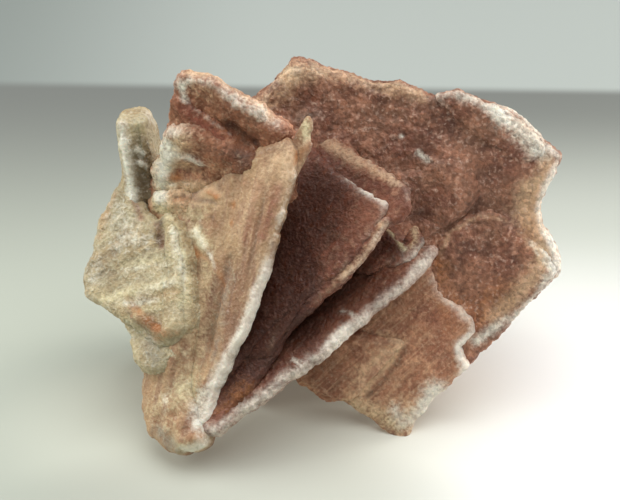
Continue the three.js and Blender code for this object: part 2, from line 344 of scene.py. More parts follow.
@dataclass(frozen=True)
class BariteFinish:
    """Barite overgrown with a druse of grains: a ground of three tones, over which the stains and the
    painted shade and highlights lie.

    Barite is a soft, heavy, glassy to pearly mineral of refractive index 1.64. Its druse scatters
    light in the grain, so it looks matt and soft, with points of glitter where a face mirrors.
    """

    name: str
    ground: str
    shade: str
    light: str
    streak_tone: str
    crystal_glint_tone: str
    streak_share: float = 0.4
    streak_spacing_mm: float = 1.4
    mottle_share: float = 0.75
    # Real grains are about half a millimetre: too fine to show, so they are drawn coarser.
    grain_mm: float = 0.8
    grain_contrast: float = 0.18
    crystal_glint_share: float = 0.3
    pore_share: float = 0.3
    fraying: float = 0.35
    bump_mm: float = 0.2
    roughness: float = 0.62
    glow: float = 0.3

    RIM = "#f1e8da"
    PORE = "#573524"
    # Noises: the distance from swell to swell in millimetres, and the detail. Real flecks and
    # fibres are a few tenths of a millimetre: too fine to show, so they are drawn coarser.
    CLOUD = (8.0, 3.0)
    MOTTLE = (1.6, 4.0)
    FLECK = (0.6, 2.0)
    DRIFT = (5.0, 2.0)
    FIBRE = (0.7, 2.0)
    STREAK_LENGTH_MM = 16.0
    STREAK_DEPTH_MM = 6.0

    def build(self) -> bpy.types.Material:
        """Make the material.

        Returns:
            The material, which reads Object coordinates and the piece's own attributes.
        """
        g = Graph(self.name)
        place = g.add("ShaderNodeTexCoord").outputs["Object"]
        lay = g.add("ShaderNodeAttribute", attribute_name="lay").outputs["Vector"]

        sizes = (self.CLOUD, self.MOTTLE, self.FLECK, self.DRIFT, (self.grain_mm, 2.0))
        noises = [{"Vector": place, "Scale": 1 / (size * MM), "Detail": detail} for size, detail in sizes]
        cloud, mottle, fleck, drift, speck = (g.add("ShaderNodeTexNoise", n).outputs[0] for n in noises)

        # Streaks are noise drawn out along the lamina.
        spread = (self.STREAK_LENGTH_MM, self.streak_spacing_mm, self.STREAK_DEPTH_MM)
        squeeze = tuple(1 / (size * MM) for size in spread)
        drawn = g.add("ShaderNodeVectorMath", {0: lay, 1: squeeze}, operation="MULTIPLY").outputs[0]
        links = {"Vector": drawn, "Scale": 1.0, "Detail": 3.0, "Distortion": 0.3}
        streak = g.add("ShaderNodeTexNoise", links).outputs[0]

        # The ground's three tones, and the streaks.
        base = g.layer(colour(self.ground), colour(self.shade), [(cloud, 0.38, 0.66, 0.0, 1.0)])
        base = g.layer(base, colour(self.light), [(mottle, 0.46, 0.74, 0.0, self.mottle_share)])
        base = g.layer(base, colour(self.streak_tone), [(streak, 0.45, 0.68, 0.0, self.streak_share)])

        # Darker in the pits and paler on the crests: partly iron, dirt and rubbing, partly painted shade in
        # the pits and painted light on the crests.
        relief = g.add("ShaderNodeAttribute", attribute_name="relief").outputs["Fac"]
        links = {0: relief, 1: -0.5, 2: 0.6, 3: 0.72, 4: 1.18}
        pit_shade_and_wear = g.add("ShaderNodeMapRange", links, interpolation_type="SMOOTHSTEP").outputs[0]
        base = g.add("ShaderNodeHueSaturation", {"Value": pit_shade_and_wear, "Color": base}).outputs[0]

        # Stains, painted shade and painted highlights: each attribute's weight with a border that the
        # mottles and the flecks make ragged.
        ragged = g.add("ShaderNodeMath", {0: fleck, 1: 0.6, 2: mottle}, operation="MULTIPLY_ADD").outputs[0]
        ragged = g.add("ShaderNodeMath", {0: ragged, 1: 0.8}, operation="SUBTRACT").outputs[0]
        rises = {}
        for name, (tone, most) in STAIN_AND_SHADE_TONES.items():
            weight = g.add("ShaderNodeAttribute", attribute_name=name).outputs["Fac"]
            links = {0: ragged, 1: 0.9, 2: weight}
            border = g.add("ShaderNodeMath", links, operation="MULTIPLY_ADD").outputs[0]
            rises[name] = [(border, 0.0, 1.0, 0.0, most), (weight, 0.0, 0.2, 0.0, 1.0)]
            base = g.layer(base, colour(tone), rises[name])

        # Specks of clean crystal, partly painted glints, and pores full of dirt, both in drifts.
        where = (drift, 0.38, 0.62, 0.1, self.crystal_glint_share)
        base = g.layer(base, colour(self.crystal_glint_tone), [(speck, 0.5, 0.74, 0.0, 1.0), where])
        where = (drift, 0.62, 0.38, 0.1, self.pore_share)
        base = g.layer(base, colour(self.PORE), [(speck, 0.5, 0.3, 0.0, 1.0), where])

        # The broken edge: white and fibrous, each fibre running in from the brink. On some rims the white is
        # also a painted glow of light through the edge.
        rim = g.add("ShaderNodeAttribute", attribute_name="rim").outputs["Fac"]
        brink = g.add("ShaderNodeAttribute", attribute_name="brink").outputs["Vector"]
        size, detail = self.FIBRE
        links = {"Vector": brink, "Scale": 1 / (size * MM), "Detail": detail}
        fibre = g.add("ShaderNodeTexNoise", links).outputs[0]
        frayed = rim
        for pattern, weight in ((fibre, self.fraying), (ragged, 1.1), (drift, 1.2)):
            links = {0: pattern, 1: weight, 2: frayed}
            frayed = g.add("ShaderNodeMath", links, operation="MULTIPLY_ADD").outputs[0]
        # The fibres and the drifts are 0.5 on average, which lifts the sum by the usual amount.
        usual = 0.5 * (self.fraying + 1.2)
        rim_rises = [(frayed, usual - 0.2, usual + 1.1, 0.0, 1.0), (rim, 0.0, 0.8, 0.0, 0.95)]
        base = g.layer(base, colour(self.RIM), rim_rises)

        # Grains: each a little lighter or darker than the next.
        cells = g.add("ShaderNodeTexVoronoi", {"Vector": place, "Scale": 1 / (self.grain_mm * MM)})
        lot = g.add("ShaderNodeSeparateColor", {0: cells.outputs["Color"]}).outputs[0]
        links = {0: lot, 1: 0.0, 2: 1.0, 3: 1.0 - self.grain_contrast, 4: 1.0 + self.grain_contrast}
        value = g.add("ShaderNodeMapRange", links, interpolation_type="SMOOTHSTEP").outputs[0]
        base = g.add("ShaderNodeHueSaturation", {"Value": value, "Color": base}).outputs[0]

        # Glitter where a grain's face is smooth, gloss where the crystal is bare.
        links = {0: lot, 1: 0.86, 2: 0.98, 3: self.roughness, 4: 0.28}
        glitter = g.add("ShaderNodeMapRange", links, interpolation_type="SMOOTHSTEP").outputs[0]
        shine = g.layer(glitter, (0.16, 0.16, 0.16, 1.0), rises["glass"])

        # Fine relief: grains, flecks and the edge's fibres.
        edge = g.add("ShaderNodeMath", {0: fibre, 1: rim}, operation="MULTIPLY").outputs[0]
        grain = (cells.outputs["Distance"], -0.7)
        height: Feed = 0.0
        for pattern, weight in (grain, (fleck, 0.7), (mottle, 1.2), (speck, 2.0), (edge, self.fraying)):
            links = {0: pattern, 1: weight * self.bump_mm * MM, 2: height}
            height = g.add("ShaderNodeMath", links, operation="MULTIPLY_ADD").outputs[0]
        bump = g.add("ShaderNodeBump", {"Height": height, "Distance": 1.0, "Strength": 1.0}).outputs[0]
        shader = g.add(
            "ShaderNodeBsdfPrincipled",
            {
                "Base Color": base,
                "Roughness": shine,
                "IOR": 1.64,
                "Specular IOR Level": 0.28,
                "Subsurface Weight": self.glow,
                "Subsurface Radius": (1.0, 0.72, 0.55),
                "Subsurface Scale": 1.4 * MM,
                "Normal": bump,
            },
        )
        g.add("ShaderNodeOutputMaterial", {"Surface": shader.outputs[0]})
        return g.material


# Iron-stained druse of the wide plates: pink-brown, matt and lumpy.
PINK_DRUSE = BariteFinish(
    "barite_pink_druse", "#986a52", "#754a39", "#b88a71", "#865b46", "#d8b8a4", 0.25,
    grain_mm=0.95, grain_contrast=0.2, crystal_glint_share=0.55, pore_share=0.45,
)
# The same druse with more rust, on the two small blades at the top left.
RUST_DRUSE = BariteFinish(
    "barite_rust_druse", "#a57053", "#84523a", "#c69678", "#925f43", "#d6b595", 0.25,
    grain_contrast=0.16, crystal_glint_share=0.3, pore_share=0.35,
)
# Smooth plate with fine growth lines: pink-brown, paler along the lines.
STRIATED_PLATE = BariteFinish(
    "barite_striated", "#ba8565", "#a06b52", "#d7a987", "#dfb48e", "#e2c4a6", 0.5, 0.8,
    grain_contrast=0.12, crystal_glint_share=0.3, pore_share=0.3, bump_mm=0.14,
)
# Cream to greenish crust of fine calcite and barite grains.
CREAM_CRUST = BariteFinish(
    "barite_cream_crust", "#beb08f", "#a99472", "#d6cbac", "#b0986e", "#f1ecdd", 0.4, 1.6,
    mottle_share=0.45, grain_mm=0.8, grain_contrast=0.06, crystal_glint_share=0.25, pore_share=0.22,
)
# Tan cover of the fan, streaked in the direction of growth.
TAN_COVER = BariteFinish(
    "barite_tan_cover", "#b69470", "#a17a5b", "#ccb08c", "#8e6650", "#e3d2b4", 0.7, 2.2,
    mottle_share=0.4, grain_contrast=0.05, crystal_glint_share=0.18, pore_share=0.14, bump_mm=0.12,
)
# Inner leaves of the fan: dark iron-stained barite, its tones darkened further as painted shade for the
# inside of the fan.
MAROON_LEAF = BariteFinish(
    "barite_maroon_leaf", "#83503b", "#683826", "#a1775e", "#70422c", "#9c7262", 0.3,
    grain_contrast=0.12, crystal_glint_share=0.2, pore_share=0.3, bump_mm=0.15,
)


# Sheets: closed surfaces on a square grid


@dataclass(frozen=True)
class Relief:
    """Heights and lengths of a face's relief, in millimetres.

    Real grains are about half a millimetre: too fine for the mesh, so they are made coarser.
    """

    lump_length: float = 7.0
    lump_height: float = 0.4
    knob_size: float = 2.4
    knob_height: float = 0.25
    grain_size: float = 1.0
    grain_height: float = 0.2
    streak_length: float = 12.0
    streak_width: float = 1.5
    streak_height: float = 0.0
    streak_turn: float = 90.0
    fibre_height: float = 0.04


class Habit(Enum):
    """How a blade's faces grew."""

    DRUSE = Relief(8.0, 0.7, 2.9, 0.42, 1.15, 0.3, fibre_height=0.03)
    STRIATED = Relief(9.0, 0.25, 2.2, 0.08, 0.9, 0.12, 14.0, 0.75, 0.13, 45.0)
    STREAKED = Relief(10.0, 0.25, 2.4, 0.1, 0.8, 0.1, 16.0, 1.6, 0.26, 97.0)
    CRUST = Relief(5.0, 0.4, 2.2, 0.22, 0.85, 0.17, 11.0, 1.1, 0.16, 40.0)
    LEAFED = Relief(8.0, 0.3, 2.4, 0.2, 1.0, 0.2, 14.0, 1.4, 0.14, 62.0)
    GLASSY = Relief(6.0, 0.3, 1.9, 0.2, 0.8, 0.14, 9.0, 1.2, 0.12, 85.0)


@dataclass
class Shell:
    """One closed sheet as arrays: places and directions of its vertices, and its faces.

    The brink of a vertex is the point of the edge at the end of its spoke, and its inset is how
    far in from the edge it lies. Its face is 1 in front, −1 in the rear and in between on the rim.
    """

    place: Points
    outward: Points
    brink: Points
    inset: Values
    face: Values
    faces: np.ndarray

    def across_rim(self) -> Points:
        """How far along a fibre each vertex lies: its inset and its height over FIBRE_LENGTH."""
        return (self.inset[:, None] + self.place[:, 2:]) / FIBRE_LENGTH


@dataclass(frozen=True)
class Sheet:
    """One lamina: an outline in the blade's plane, a thickness and a lift along its normal."""

    thickness: float
    outline: Outline
    lift: float = 0.0

    def edge(self, count: int, seed: int) -> tuple[Points, Points]:
        """Draw the broken edge.

        A closed Catmull-Rom curve of tension CORNER_ROUNDING goes through the outline's corners.
        It is divided into equal lengths, and each point moves away from the middle by
        RAGGEDNESS times the solid's own swell, and by finer notches.

        Args:
            count: How many points the edge has.
            seed: The sheet's seed in the solid.

        Returns:
            The points, counter-clockwise from the front, and the middle.
        """
        corners = np.array(self.outline, float)
        if np.sum(np.roll(corners[:, 0], 1) * corners[:, 1] - corners[:, 0] * np.roll(corners[:, 1], 1)) < 0:
            corners = corners[::-1]
        t = np.linspace(0, 1, CORNER_SAMPLES, endpoint=False)[None, :, None]
        start = corners[:, None, :]
        end = np.roll(corners, -1, axis=0)[:, None, :]
        leaving = CORNER_ROUNDING * (end - np.roll(corners, 1, axis=0)[:, None, :])
        arriving = CORNER_ROUNDING * (np.roll(corners, -2, axis=0)[:, None, :] - start)
        curve = (
            (2 * t**3 - 3 * t**2 + 1) * start
            + (t**3 - 2 * t**2 + t) * leaving
            + (3 * t**2 - 2 * t**3) * end
            + (t**3 - t**2) * arriving
        ).reshape(-1, 2)
        closed = np.vstack([curve, curve[:1]])
        run = np.concatenate([[0], np.cumsum(np.hypot(*np.diff(closed, axis=0).T))])
        at = np.linspace(0, run[-1], count, endpoint=False)
        points = np.stack([np.interp(at, run, closed[:, 0]), np.interp(at, run, closed[:, 1])], axis=1)
        middle = points.mean(axis=0)
        spoke = points - middle
        spoke /= np.hypot(*spoke.T)[:, None]
        notch = RAGGEDNESS * flat_swell(points[:, 0] / RAG_LENGTH, points[:, 1] / RAG_LENGTH, seed)
        for height, length, step in FINE_NOTCHES:
            notch += height * flat_swell(points[:, 0] / length, points[:, 1] / length, seed + step)
        return points + notch[:, None] * spoke, middle

    def perimeter(self) -> float:
        """Length round the outline's corners."""
        corners = np.array(self.outline, float)
        return float(np.hypot(*(corners - np.roll(corners, 1, axis=0)).T).sum())

    def shell(self, spacing: float, seed: int) -> Shell:
        """Draw the sheet as a closed surface.

        Each face is a square grid of (2n + 1)² points. A point of the grid's ring k lies the
        share r(k/n) of the way from the middle to the edge, where r(q) = (1 − w) q + w sin(πq/2)
        crowds the rings towards the edge, and goes round the edge as it goes round the square.
        The face's height over the middle plane is thickness · (0.5 − (0.5 − RIM_SHARE) e^(−d/RIM_FALL))
        at the distance d from the edge, plus the solid's own swells. The rim joins the two faces by rows
        across the blunt edge, which bulges by RIM_BULGE · (1 − s²) where s goes from 1 to −1.

        Args:
            spacing: Distance from one vertex to the next along the edge.
            seed: The sheet's seed in the solid.

        Returns:
            The closed surface in the blade's own frame.
        """
        n = max(6, round(self.perimeter() / spacing / 8))
        edge, middle = self.edge(8 * n, seed)
        steps = np.arange(-n, n + 1)
        u, v = (g.ravel().astype(float) for g in np.meshgrid(steps, steps, indexing="ij"))
        ring = np.maximum(abs(u), abs(v))
        a, b = u / np.maximum(ring, 1), v / np.maximum(ring, 1)
        around = np.select(
            [ring == 0, (a >= 1) & (b < 1), (b >= 1) & (a > -1), (a <= -1) & (b > -1)],
            [0 * a, (b + 1) / 8, (3 - a) / 8, (5 - b) / 8],
            (a + 7) / 8,
        )
        q = ring / n
        share = (1 - RADIAL_CROWDING) * q + RADIAL_CROWDING * np.sin(np.pi * q / 2)
        turn = np.arange(8 * n + 1) / (8 * n)
        closed = np.vstack([edge, edge[:1]])
        target = np.stack([np.interp(around, turn, closed[:, i]) for i in range(2)], axis=1)
        spoke = target - middle
        flat = middle + share[:, None] * spoke

        tangent = np.roll(edge, -2, axis=0) - np.roll(edge, 2, axis=0)
        for _ in range(EDGE_SMOOTHINGS):
            tangent = (tangent + np.roll(tangent, 1, axis=0) + np.roll(tangent, -1, axis=0)) / 3
        out = np.stack([tangent[:, 1], -tangent[:, 0]], axis=1)
        out /= np.hypot(*out.T)[:, None]
        out_closed = np.vstack([out, out[:1]])
        face_out = np.stack([np.interp(around, turn, out_closed[:, i]) for i in range(2)], axis=1)
        inset = (1 - share) * np.abs((spoke * face_out).sum(axis=1))
        rise = self.thickness * (0.5 - (0.5 - RIM_SHARE) * np.exp(-inset / RIM_FALL))
        settle = eased(inset, 0.0, SETTLED_INSET)

        def face_of(side: int) -> tuple[Points, Points]:
            """Draw one face.

            Args:
                side: 1 for the front and −1 for the rear.

            Returns:
                The places and the outward directions of its vertices.
            """
            x, y = flat.T / SWELL_LENGTH
            z = self.lift + side * (rise + SWELL_HEIGHT * flat_swell(x, y, seed + side) * settle)
            tip = np.exp(-inset / RIM_FALL)[:, None]
            direction = np.hstack([FACE_TILT * tip * face_out, side * np.ones((len(flat), 1))])
            return np.hstack([flat, z[:, None]]), direction / np.linalg.norm(direction, axis=1)[:, None]

        front, front_out = face_of(1)
        rear, rear_out = face_of(-1)
        border = np.flatnonzero(ring == n)
        border = border[np.argsort(around[border])]

        half = self.thickness * RIM_SHARE
        rows = max(1, round(2 * half / spacing) - 1)
        s = 1 - 2 * np.arange(1, rows + 1) / (rows + 1)
        bulge = RIM_BULGE * (1 - s**2)
        rim_flat = edge[None] + bulge[:, None, None] * out[None]
        rim_z = np.broadcast_to((self.lift + half * s)[:, None, None], (rows, 8 * n, 1))
        rim = np.concatenate([rim_flat, rim_z], axis=2).reshape(-1, 3)
        lean = np.broadcast_to((RIM_TILT * s)[:, None, None], (rows, 8 * n, 1))
        rim_out = np.concatenate([np.broadcast_to(out[None], (rows, 8 * n, 2)), lean], axis=2).reshape(-1, 3)
        rim_out = rim_out / np.linalg.norm(rim_out, axis=1)[:, None]

        index = np.arange((2 * n + 1) ** 2).reshape(2 * n + 1, -1)
        quads = np.stack([index[:-1, :-1], index[1:, :-1], index[1:, 1:], index[:-1, 1:]], axis=2)
        quads = quads.reshape(-1, 4)
        count = len(front)
        strips = np.arange(rows * 8 * n).reshape(rows, -1) + 2 * count
        strips = np.vstack([border[None], strips, border[None] + count])
        after = np.roll(strips, -1, axis=1)
        sides = np.stack([strips[:-1], strips[1:], after[1:], after[:-1]], axis=2).reshape(-1, 4)
        return Shell(
            place=np.vstack([front, rear, rim]),
            outward=np.vstack([front_out, rear_out, rim_out]),
            brink=np.vstack([target, target, np.tile(edge, (rows, 1))]),
            inset=np.concatenate([inset, inset, np.zeros(len(rim))]),
            face=np.concatenate([np.ones(count), -np.ones(count), np.repeat(s, 8 * n)]),
            faces=np.vstack([quads, quads[:, ::-1] + count, sides]),
        )


@dataclass(frozen=True)
class Mark:
    """A spot or a stroke on the specimen: points in the part's frame and reach, in millimetres."""

    reach: float
    strength: float
    path: tuple[Place, ...]

    def weight(self, points: Points) -> Values:
        """Work out the mark's strength at each point.

        It is strength · e^(−(distance/reach)²), with the distance to the nearest leg of the path.

        Args:
            points: Places in the part's frame, shape (n, 3).

        Returns:
            Strengths, shape (n,).
        """
        path = np.array(self.path, float)
        nearest = ((points - path[0]) ** 2).sum(axis=1)
        for start, end in zip(path[:-1], path[1:]):
            leg = end - start
            t = np.clip((points - start) @ leg / (leg @ leg), 0, 1)
            away = points - start - t[:, None] * leg
            np.minimum(nearest, (away**2).sum(axis=1), out=nearest)
        return self.strength * np.exp(-nearest / self.reach**2)


Marks = Sequence[Mark]


def mark(reach: float, strength: float, *path: Place) -> Mark:
    """Set down a mark and the points of its path."""
    return Mark(reach, strength, path)


def marked(marks: Marks, points: Points) -> Values:
    """Add up the marks' weights at each point, to no more than 1.

    Args:
        marks: The marks.
        points: Places in the part's frame, in millimetres, shape (n, 3).

    Returns:
        Shares from 0 to 1, shape (n,).
    """
    total = np.zeros(len(points))
    for mark in marks:
        total += mark.weight(points)
    return np.minimum(total, 1)


@dataclass(eq=False)
class Blade:
    """A blade of the rosette: its plane, its sheets, how it grew and its marks.

    A bump's strength is its height in millimetres, and that of a white edge, a stain and a painted shade is
    a share.
    """

    name: str
    index: int
    at: Place
    turn: float
    lean: float
    sheets: list[Sheet]
    habit: Habit
    finish: BariteFinish
    spacing: float = 0.45
    fillet: float = 3.5
    step_fillet: float = 1.0
    rim_reach: float = 1.6
    rim_white: float = 0.3
    rear_dark: float = 0.0
    white_edges: Marks = ()
    bumps: Marks = ()
    cream: Marks = ()
    tan: Marks = ()
    grey: Marks = ()
    # Dark marks: partly stains, partly painted shade and shadow.
    dark_and_shade: Marks = ()
    rust: Marks = ()
    red: Marks = ()
    glass: Marks = ()
    pale: Marks = ()

    def axes(self) -> Points:
        """Work out the blade's own directions.

        Returns:
            Rows: along the blade, up its slope and out of its face, in the part's frame.
        """
        turn, lean = math.radians(self.turn), math.radians(90 - self.lean)
        along = np.array([math.cos(turn), math.sin(turn), 0.0])
        level = np.array([-math.sin(turn), math.cos(turn), 0.0])
        up = np.array([0.0, 0.0, 1.0])
        slope = math.cos(lean) * level + math.sin(lean) * up
        normal = -math.sin(lean) * level + math.cos(lean) * up
        return np.stack([along, slope, normal])

    def origin(self) -> Points:
        """The blade's own origin in the part's frame, in millimetres."""
        return np.array(self.at) - FOOTPRINT_MIDDLE

    def seed(self, sheet: int) -> int:
        """The solid's seed for that sheet."""
        return 1 + self.index * 7 + sheet


@dataclass
class Slab:
    """A sheet as a plain thick plate in space, to tell how near other surfaces come to it."""

    blade: Blade
    sheet: Sheet
    number: int

    def __post_init__(self) -> None:
        """Work out how far the edge lies from the middle in each direction."""
        edge, self.middle = self.sheet.edge(SLAB_BEARINGS, self.blade.seed(self.number))
        spoke = edge - self.middle
        bearing = np.arctan2(spoke[:, 1], spoke[:, 0])
        order = np.argsort(bearing)
        self.bearing = bearing[order]
        self.reach = np.hypot(*spoke.T)[order]

    def clearance(self, points: Points) -> Values:
        """Distance from each point to the plate, 0 inside it.

        It is the length of the way across the faces and the way in over the edge, taken along
        the spoke, each no less than 0.

        Args:
            points: Places in the part's frame, in millimetres.

        Returns:
            Distances in millimetres.
        """
        local = (points - self.blade.origin()) @ self.blade.axes().T
        spoke = local[:, :2] - self.middle
        bearing = np.arctan2(spoke[:, 1], spoke[:, 0])
        reach = np.interp(bearing, self.bearing, self.reach, period=2 * np.pi)
        beyond = np.maximum(np.hypot(*spoke.T) - reach, 0)
        above = np.maximum(np.abs(local[:, 2] - self.sheet.lift) - self.sheet.thickness / 2, 0)
        return np.hypot(beyond, above)


@dataclass
class BladeMaker:
    """Makes the mesh of a blade among the slabs of all blades."""

    slabs: list[Slab]
    low: Points = field(default_factory=lambda: np.array(CAD_BOX[0]) / MM + BOX_MARGIN)
    high: Points = field(default_factory=lambda: np.array(CAD_BOX[1]) / MM - BOX_MARGIN)

    def relief(self, blade: Blade, shell: Shell, points: Points, seed: int) -> Values:
        """Heights of the druse over the sheet's plain surface.

        The sum of layered noise in space, of knobs and grains, each as its height over its
        level times its gain, of streaks, which are noise drawn out along the sheet, and on the
        rim of fibres, which are noise drawn out across it. Lumps, knobs and streaks are lower on
        the rim, and the grains are higher.

        Args:
            blade: The blade, which gives the habit.
            shell: One of its sheets.
            points: The shell's vertices in the part's frame, in millimetres.
            seed: The sheet's seed.

        Returns:
            Heights in millimetres.
        """
        r: Relief = blade.habit.value
        rim = np.exp(-shell.inset / CALM_INSET)
        height = r.lump_height * layered_noise(points, r.lump_length, 3, LUMP_SEED) * (1 - 0.5 * rim)
        knobs = r.knob_height * (grain_heights(points, r.knob_size, KNOB_SEED) - KNOB_LEVEL) * KNOB_GAIN
        height += knobs * (1 - 0.6 * rim)
        grains = r.grain_height * (grain_heights(points, r.grain_size, GRAIN_SEED) - GRAIN_LEVEL)
        height += grains * (GRAIN_GAIN + 0.8 * rim)
        if r.streak_height:
            lay = lay_coordinates(blade, shell)
            stretched = lay / np.array([r.streak_length, r.streak_width, STREAK_DEPTH])
            height += r.streak_height * (1 - rim) * layered_noise(stretched, 1.0, 3, seed)
        band = np.exp(-((shell.inset / blade.rim_reach) ** 2))
        fibres = np.hstack([shell.brink / FIBRE_WIDTH, shell.across_rim()])
        height += r.fibre_height * band * layered_noise(fibres, 1.0, 2, seed + FIBRE_SEED_STEP)
        return height

    def joined(self, blade: Blade, number: int, points: Points) -> Values:
        """How far the crust fills the corners towards the other sheets.

        A surface at the distance d from another sheet rises by k/4 · (1 − d/k)² where d is less
        than k, which is the blade's fillet, or its step fillet towards its own laminae.

        Args:
            blade: The blade.
            number: Which of its sheets it is.
            points: The sheet's vertices in the part's frame.

        Returns:
            Heights in millimetres.
        """
        fill = np.zeros(len(points))
        for slab in self.slabs:
            if slab.blade is blade and slab.number == number:
                continue
            k = blade.fillet if slab.blade is not blade else blade.step_fillet
            near = np.maximum(1 - slab.clearance(points) / k, 0)
            np.maximum(fill, k / 4 * near**2, out=fill)
        return fill

    def make(self, blade: Blade) -> bpy.types.Object:
        """Build a blade as one mesh of closed sheets with its stains, painted shade and painted highlights
        as attributes.

        Args:
            blade: The blade.

        Returns:
            The finished object at the origin.
        """
        places, faces, lays, brinks = [], [], [], []
        values: dict[str, list[Values]] = {name: [] for name in (*STAIN_AND_SHADE_TONES, "rim", "relief")}
        count = 0
        for number, sheet in enumerate(blade.sheets):
            seed = blade.seed(number)
            shell = sheet.shell(blade.spacing, seed)
            points = shell.place @ blade.axes() + blade.origin()
            outward = shell.outward @ blade.axes()
            relief = self.relief(blade, shell, points, seed)
            height = relief + self.joined(blade, number, points)
            for bump in blade.bumps:
                height += bump.weight(points)
            moved = points + height[:, None] * outward
            moved = np.clip(moved, self.low, self.high)
            places.append(moved)
            faces.append(shell.faces + count)
            count += len(points)
            lays.append(lay_coordinates(blade, shell) * MM)
            brinks.append(np.hstack([shell.brink, shell.across_rim()]) * MM)
            band = np.exp(-((shell.inset / blade.rim_reach) ** 2))
            values["rim"].append(band * np.minimum(blade.rim_white + marked(blade.white_edges, points), 1))
            values["relief"].append(relief)
            front = eased(shell.face, -FRONT_END, FRONT_END)
            for name in STAIN_AND_SHADE_TONES:
                tone = marked(getattr(blade, name), points)
                if name == "dark_and_shade":
                    tone = np.minimum(tone + blade.rear_dark * (1 - front), 1)
                values[name].append(tone)
        mesh = mesh_of(blade.name, np.vstack(places) * MM, np.vstack(faces))
        write_vectors(mesh, "lay", np.vstack(lays))
        write_vectors(mesh, "brink", np.vstack(brinks))
        for name, parts in values.items():
            write_values(mesh, name, np.concatenate(parts))
        piece = bpy.data.objects.new(blade.name, mesh)
        bpy.context.scene.collection.objects.link(piece)
        return piece


def lay_coordinates(blade: Blade, shell: Shell) -> Points:
    """Turn a sheet's own coordinates so that x runs along its streaks and y across them.

    Args:
        blade: The blade, which gives the direction.
        shell: One of its sheets.

    Returns:
        Coordinates in millimetres, shape (n, 3).
    """
    turn = math.radians(blade.habit.value.streak_turn)
    c, s = math.cos(turn), math.sin(turn)
    x, y, z = shell.place.T
    return np.stack([c * x + s * y, -s * x + c * y, z], axis=1)


def mesh_of(name: str, vertices: Points, quads: np.ndarray) -> bpy.types.Mesh:
    """Put arrays into a smooth-shaded mesh.

    Args:
        name: The mesh's name.
        vertices: Places in metres, shape (n, 3).
        quads: Vertex numbers, shape (m, 4), counter-clockwise from outside.

    Returns:
        The mesh.
    """
    mesh = bpy.data.meshes.new(name)
    mesh.vertices.add(len(vertices))
    mesh.vertices.foreach_set("co", vertices.astype(np.float32).ravel())
    mesh.loops.add(quads.size)
    mesh.loops.foreach_set("vertex_index", quads.astype(np.int32).ravel())
    mesh.polygons.add(len(quads))
    mesh.polygons.foreach_set("loop_start", np.arange(0, quads.size, 4, dtype=np.int32))
    mesh.update(calc_edges=True)
    mesh.polygons.foreach_set("use_smooth", np.ones(len(quads), bool))
    mesh.update()
    return mesh


def write_values(mesh: bpy.types.Mesh, name: str, values: Values) -> None:
    """Keep one number a vertex under a name."""
    mesh.attributes.new(name, "FLOAT", "POINT").data.foreach_set("value", values.astype(np.float32))


def write_vectors(mesh: bpy.types.Mesh, name: str, vectors: Points) -> None:
    """Keep one vector a vertex under a name."""
    attribute = mesh.attributes.new(name, "FLOAT_VECTOR", "POINT")
    attribute.data.foreach_set("vector", vectors.astype(np.float32).ravel())


# Sub-assemblies


@dataclass
class Assembly:
    """Blades that belong together."""

    def blades(self) -> list[Blade]:
        """Every blade among the fields, in order."""
        return [value for value in vars(self).values() if isinstance(value, Blade)]

    def build(self, maker: BladeMaker) -> list[bpy.types.Object]:
        """Make the blades' meshes."""
        return [maker.make(blade) for blade in self.blades()]

    def dress(self, pieces: list[bpy.types.Object], wardrobe: dict[str, bpy.types.Material]) -> None:
        """Give each blade its finish and tie it to the frame.

        Args:
            pieces: The blades' objects, in the order of blades().
            wardrobe: The materials by the finishes' names.
        """
        for piece, blade in zip(pieces, self.blades()):
            piece.data.materials.append(wardrobe[blade.finish.name])
            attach(piece, BODY)
            triangles = 2 * len(piece.data.polygons)
            log.info("%s: %s, %d triangles", type(self).__name__, piece.name, triangles)


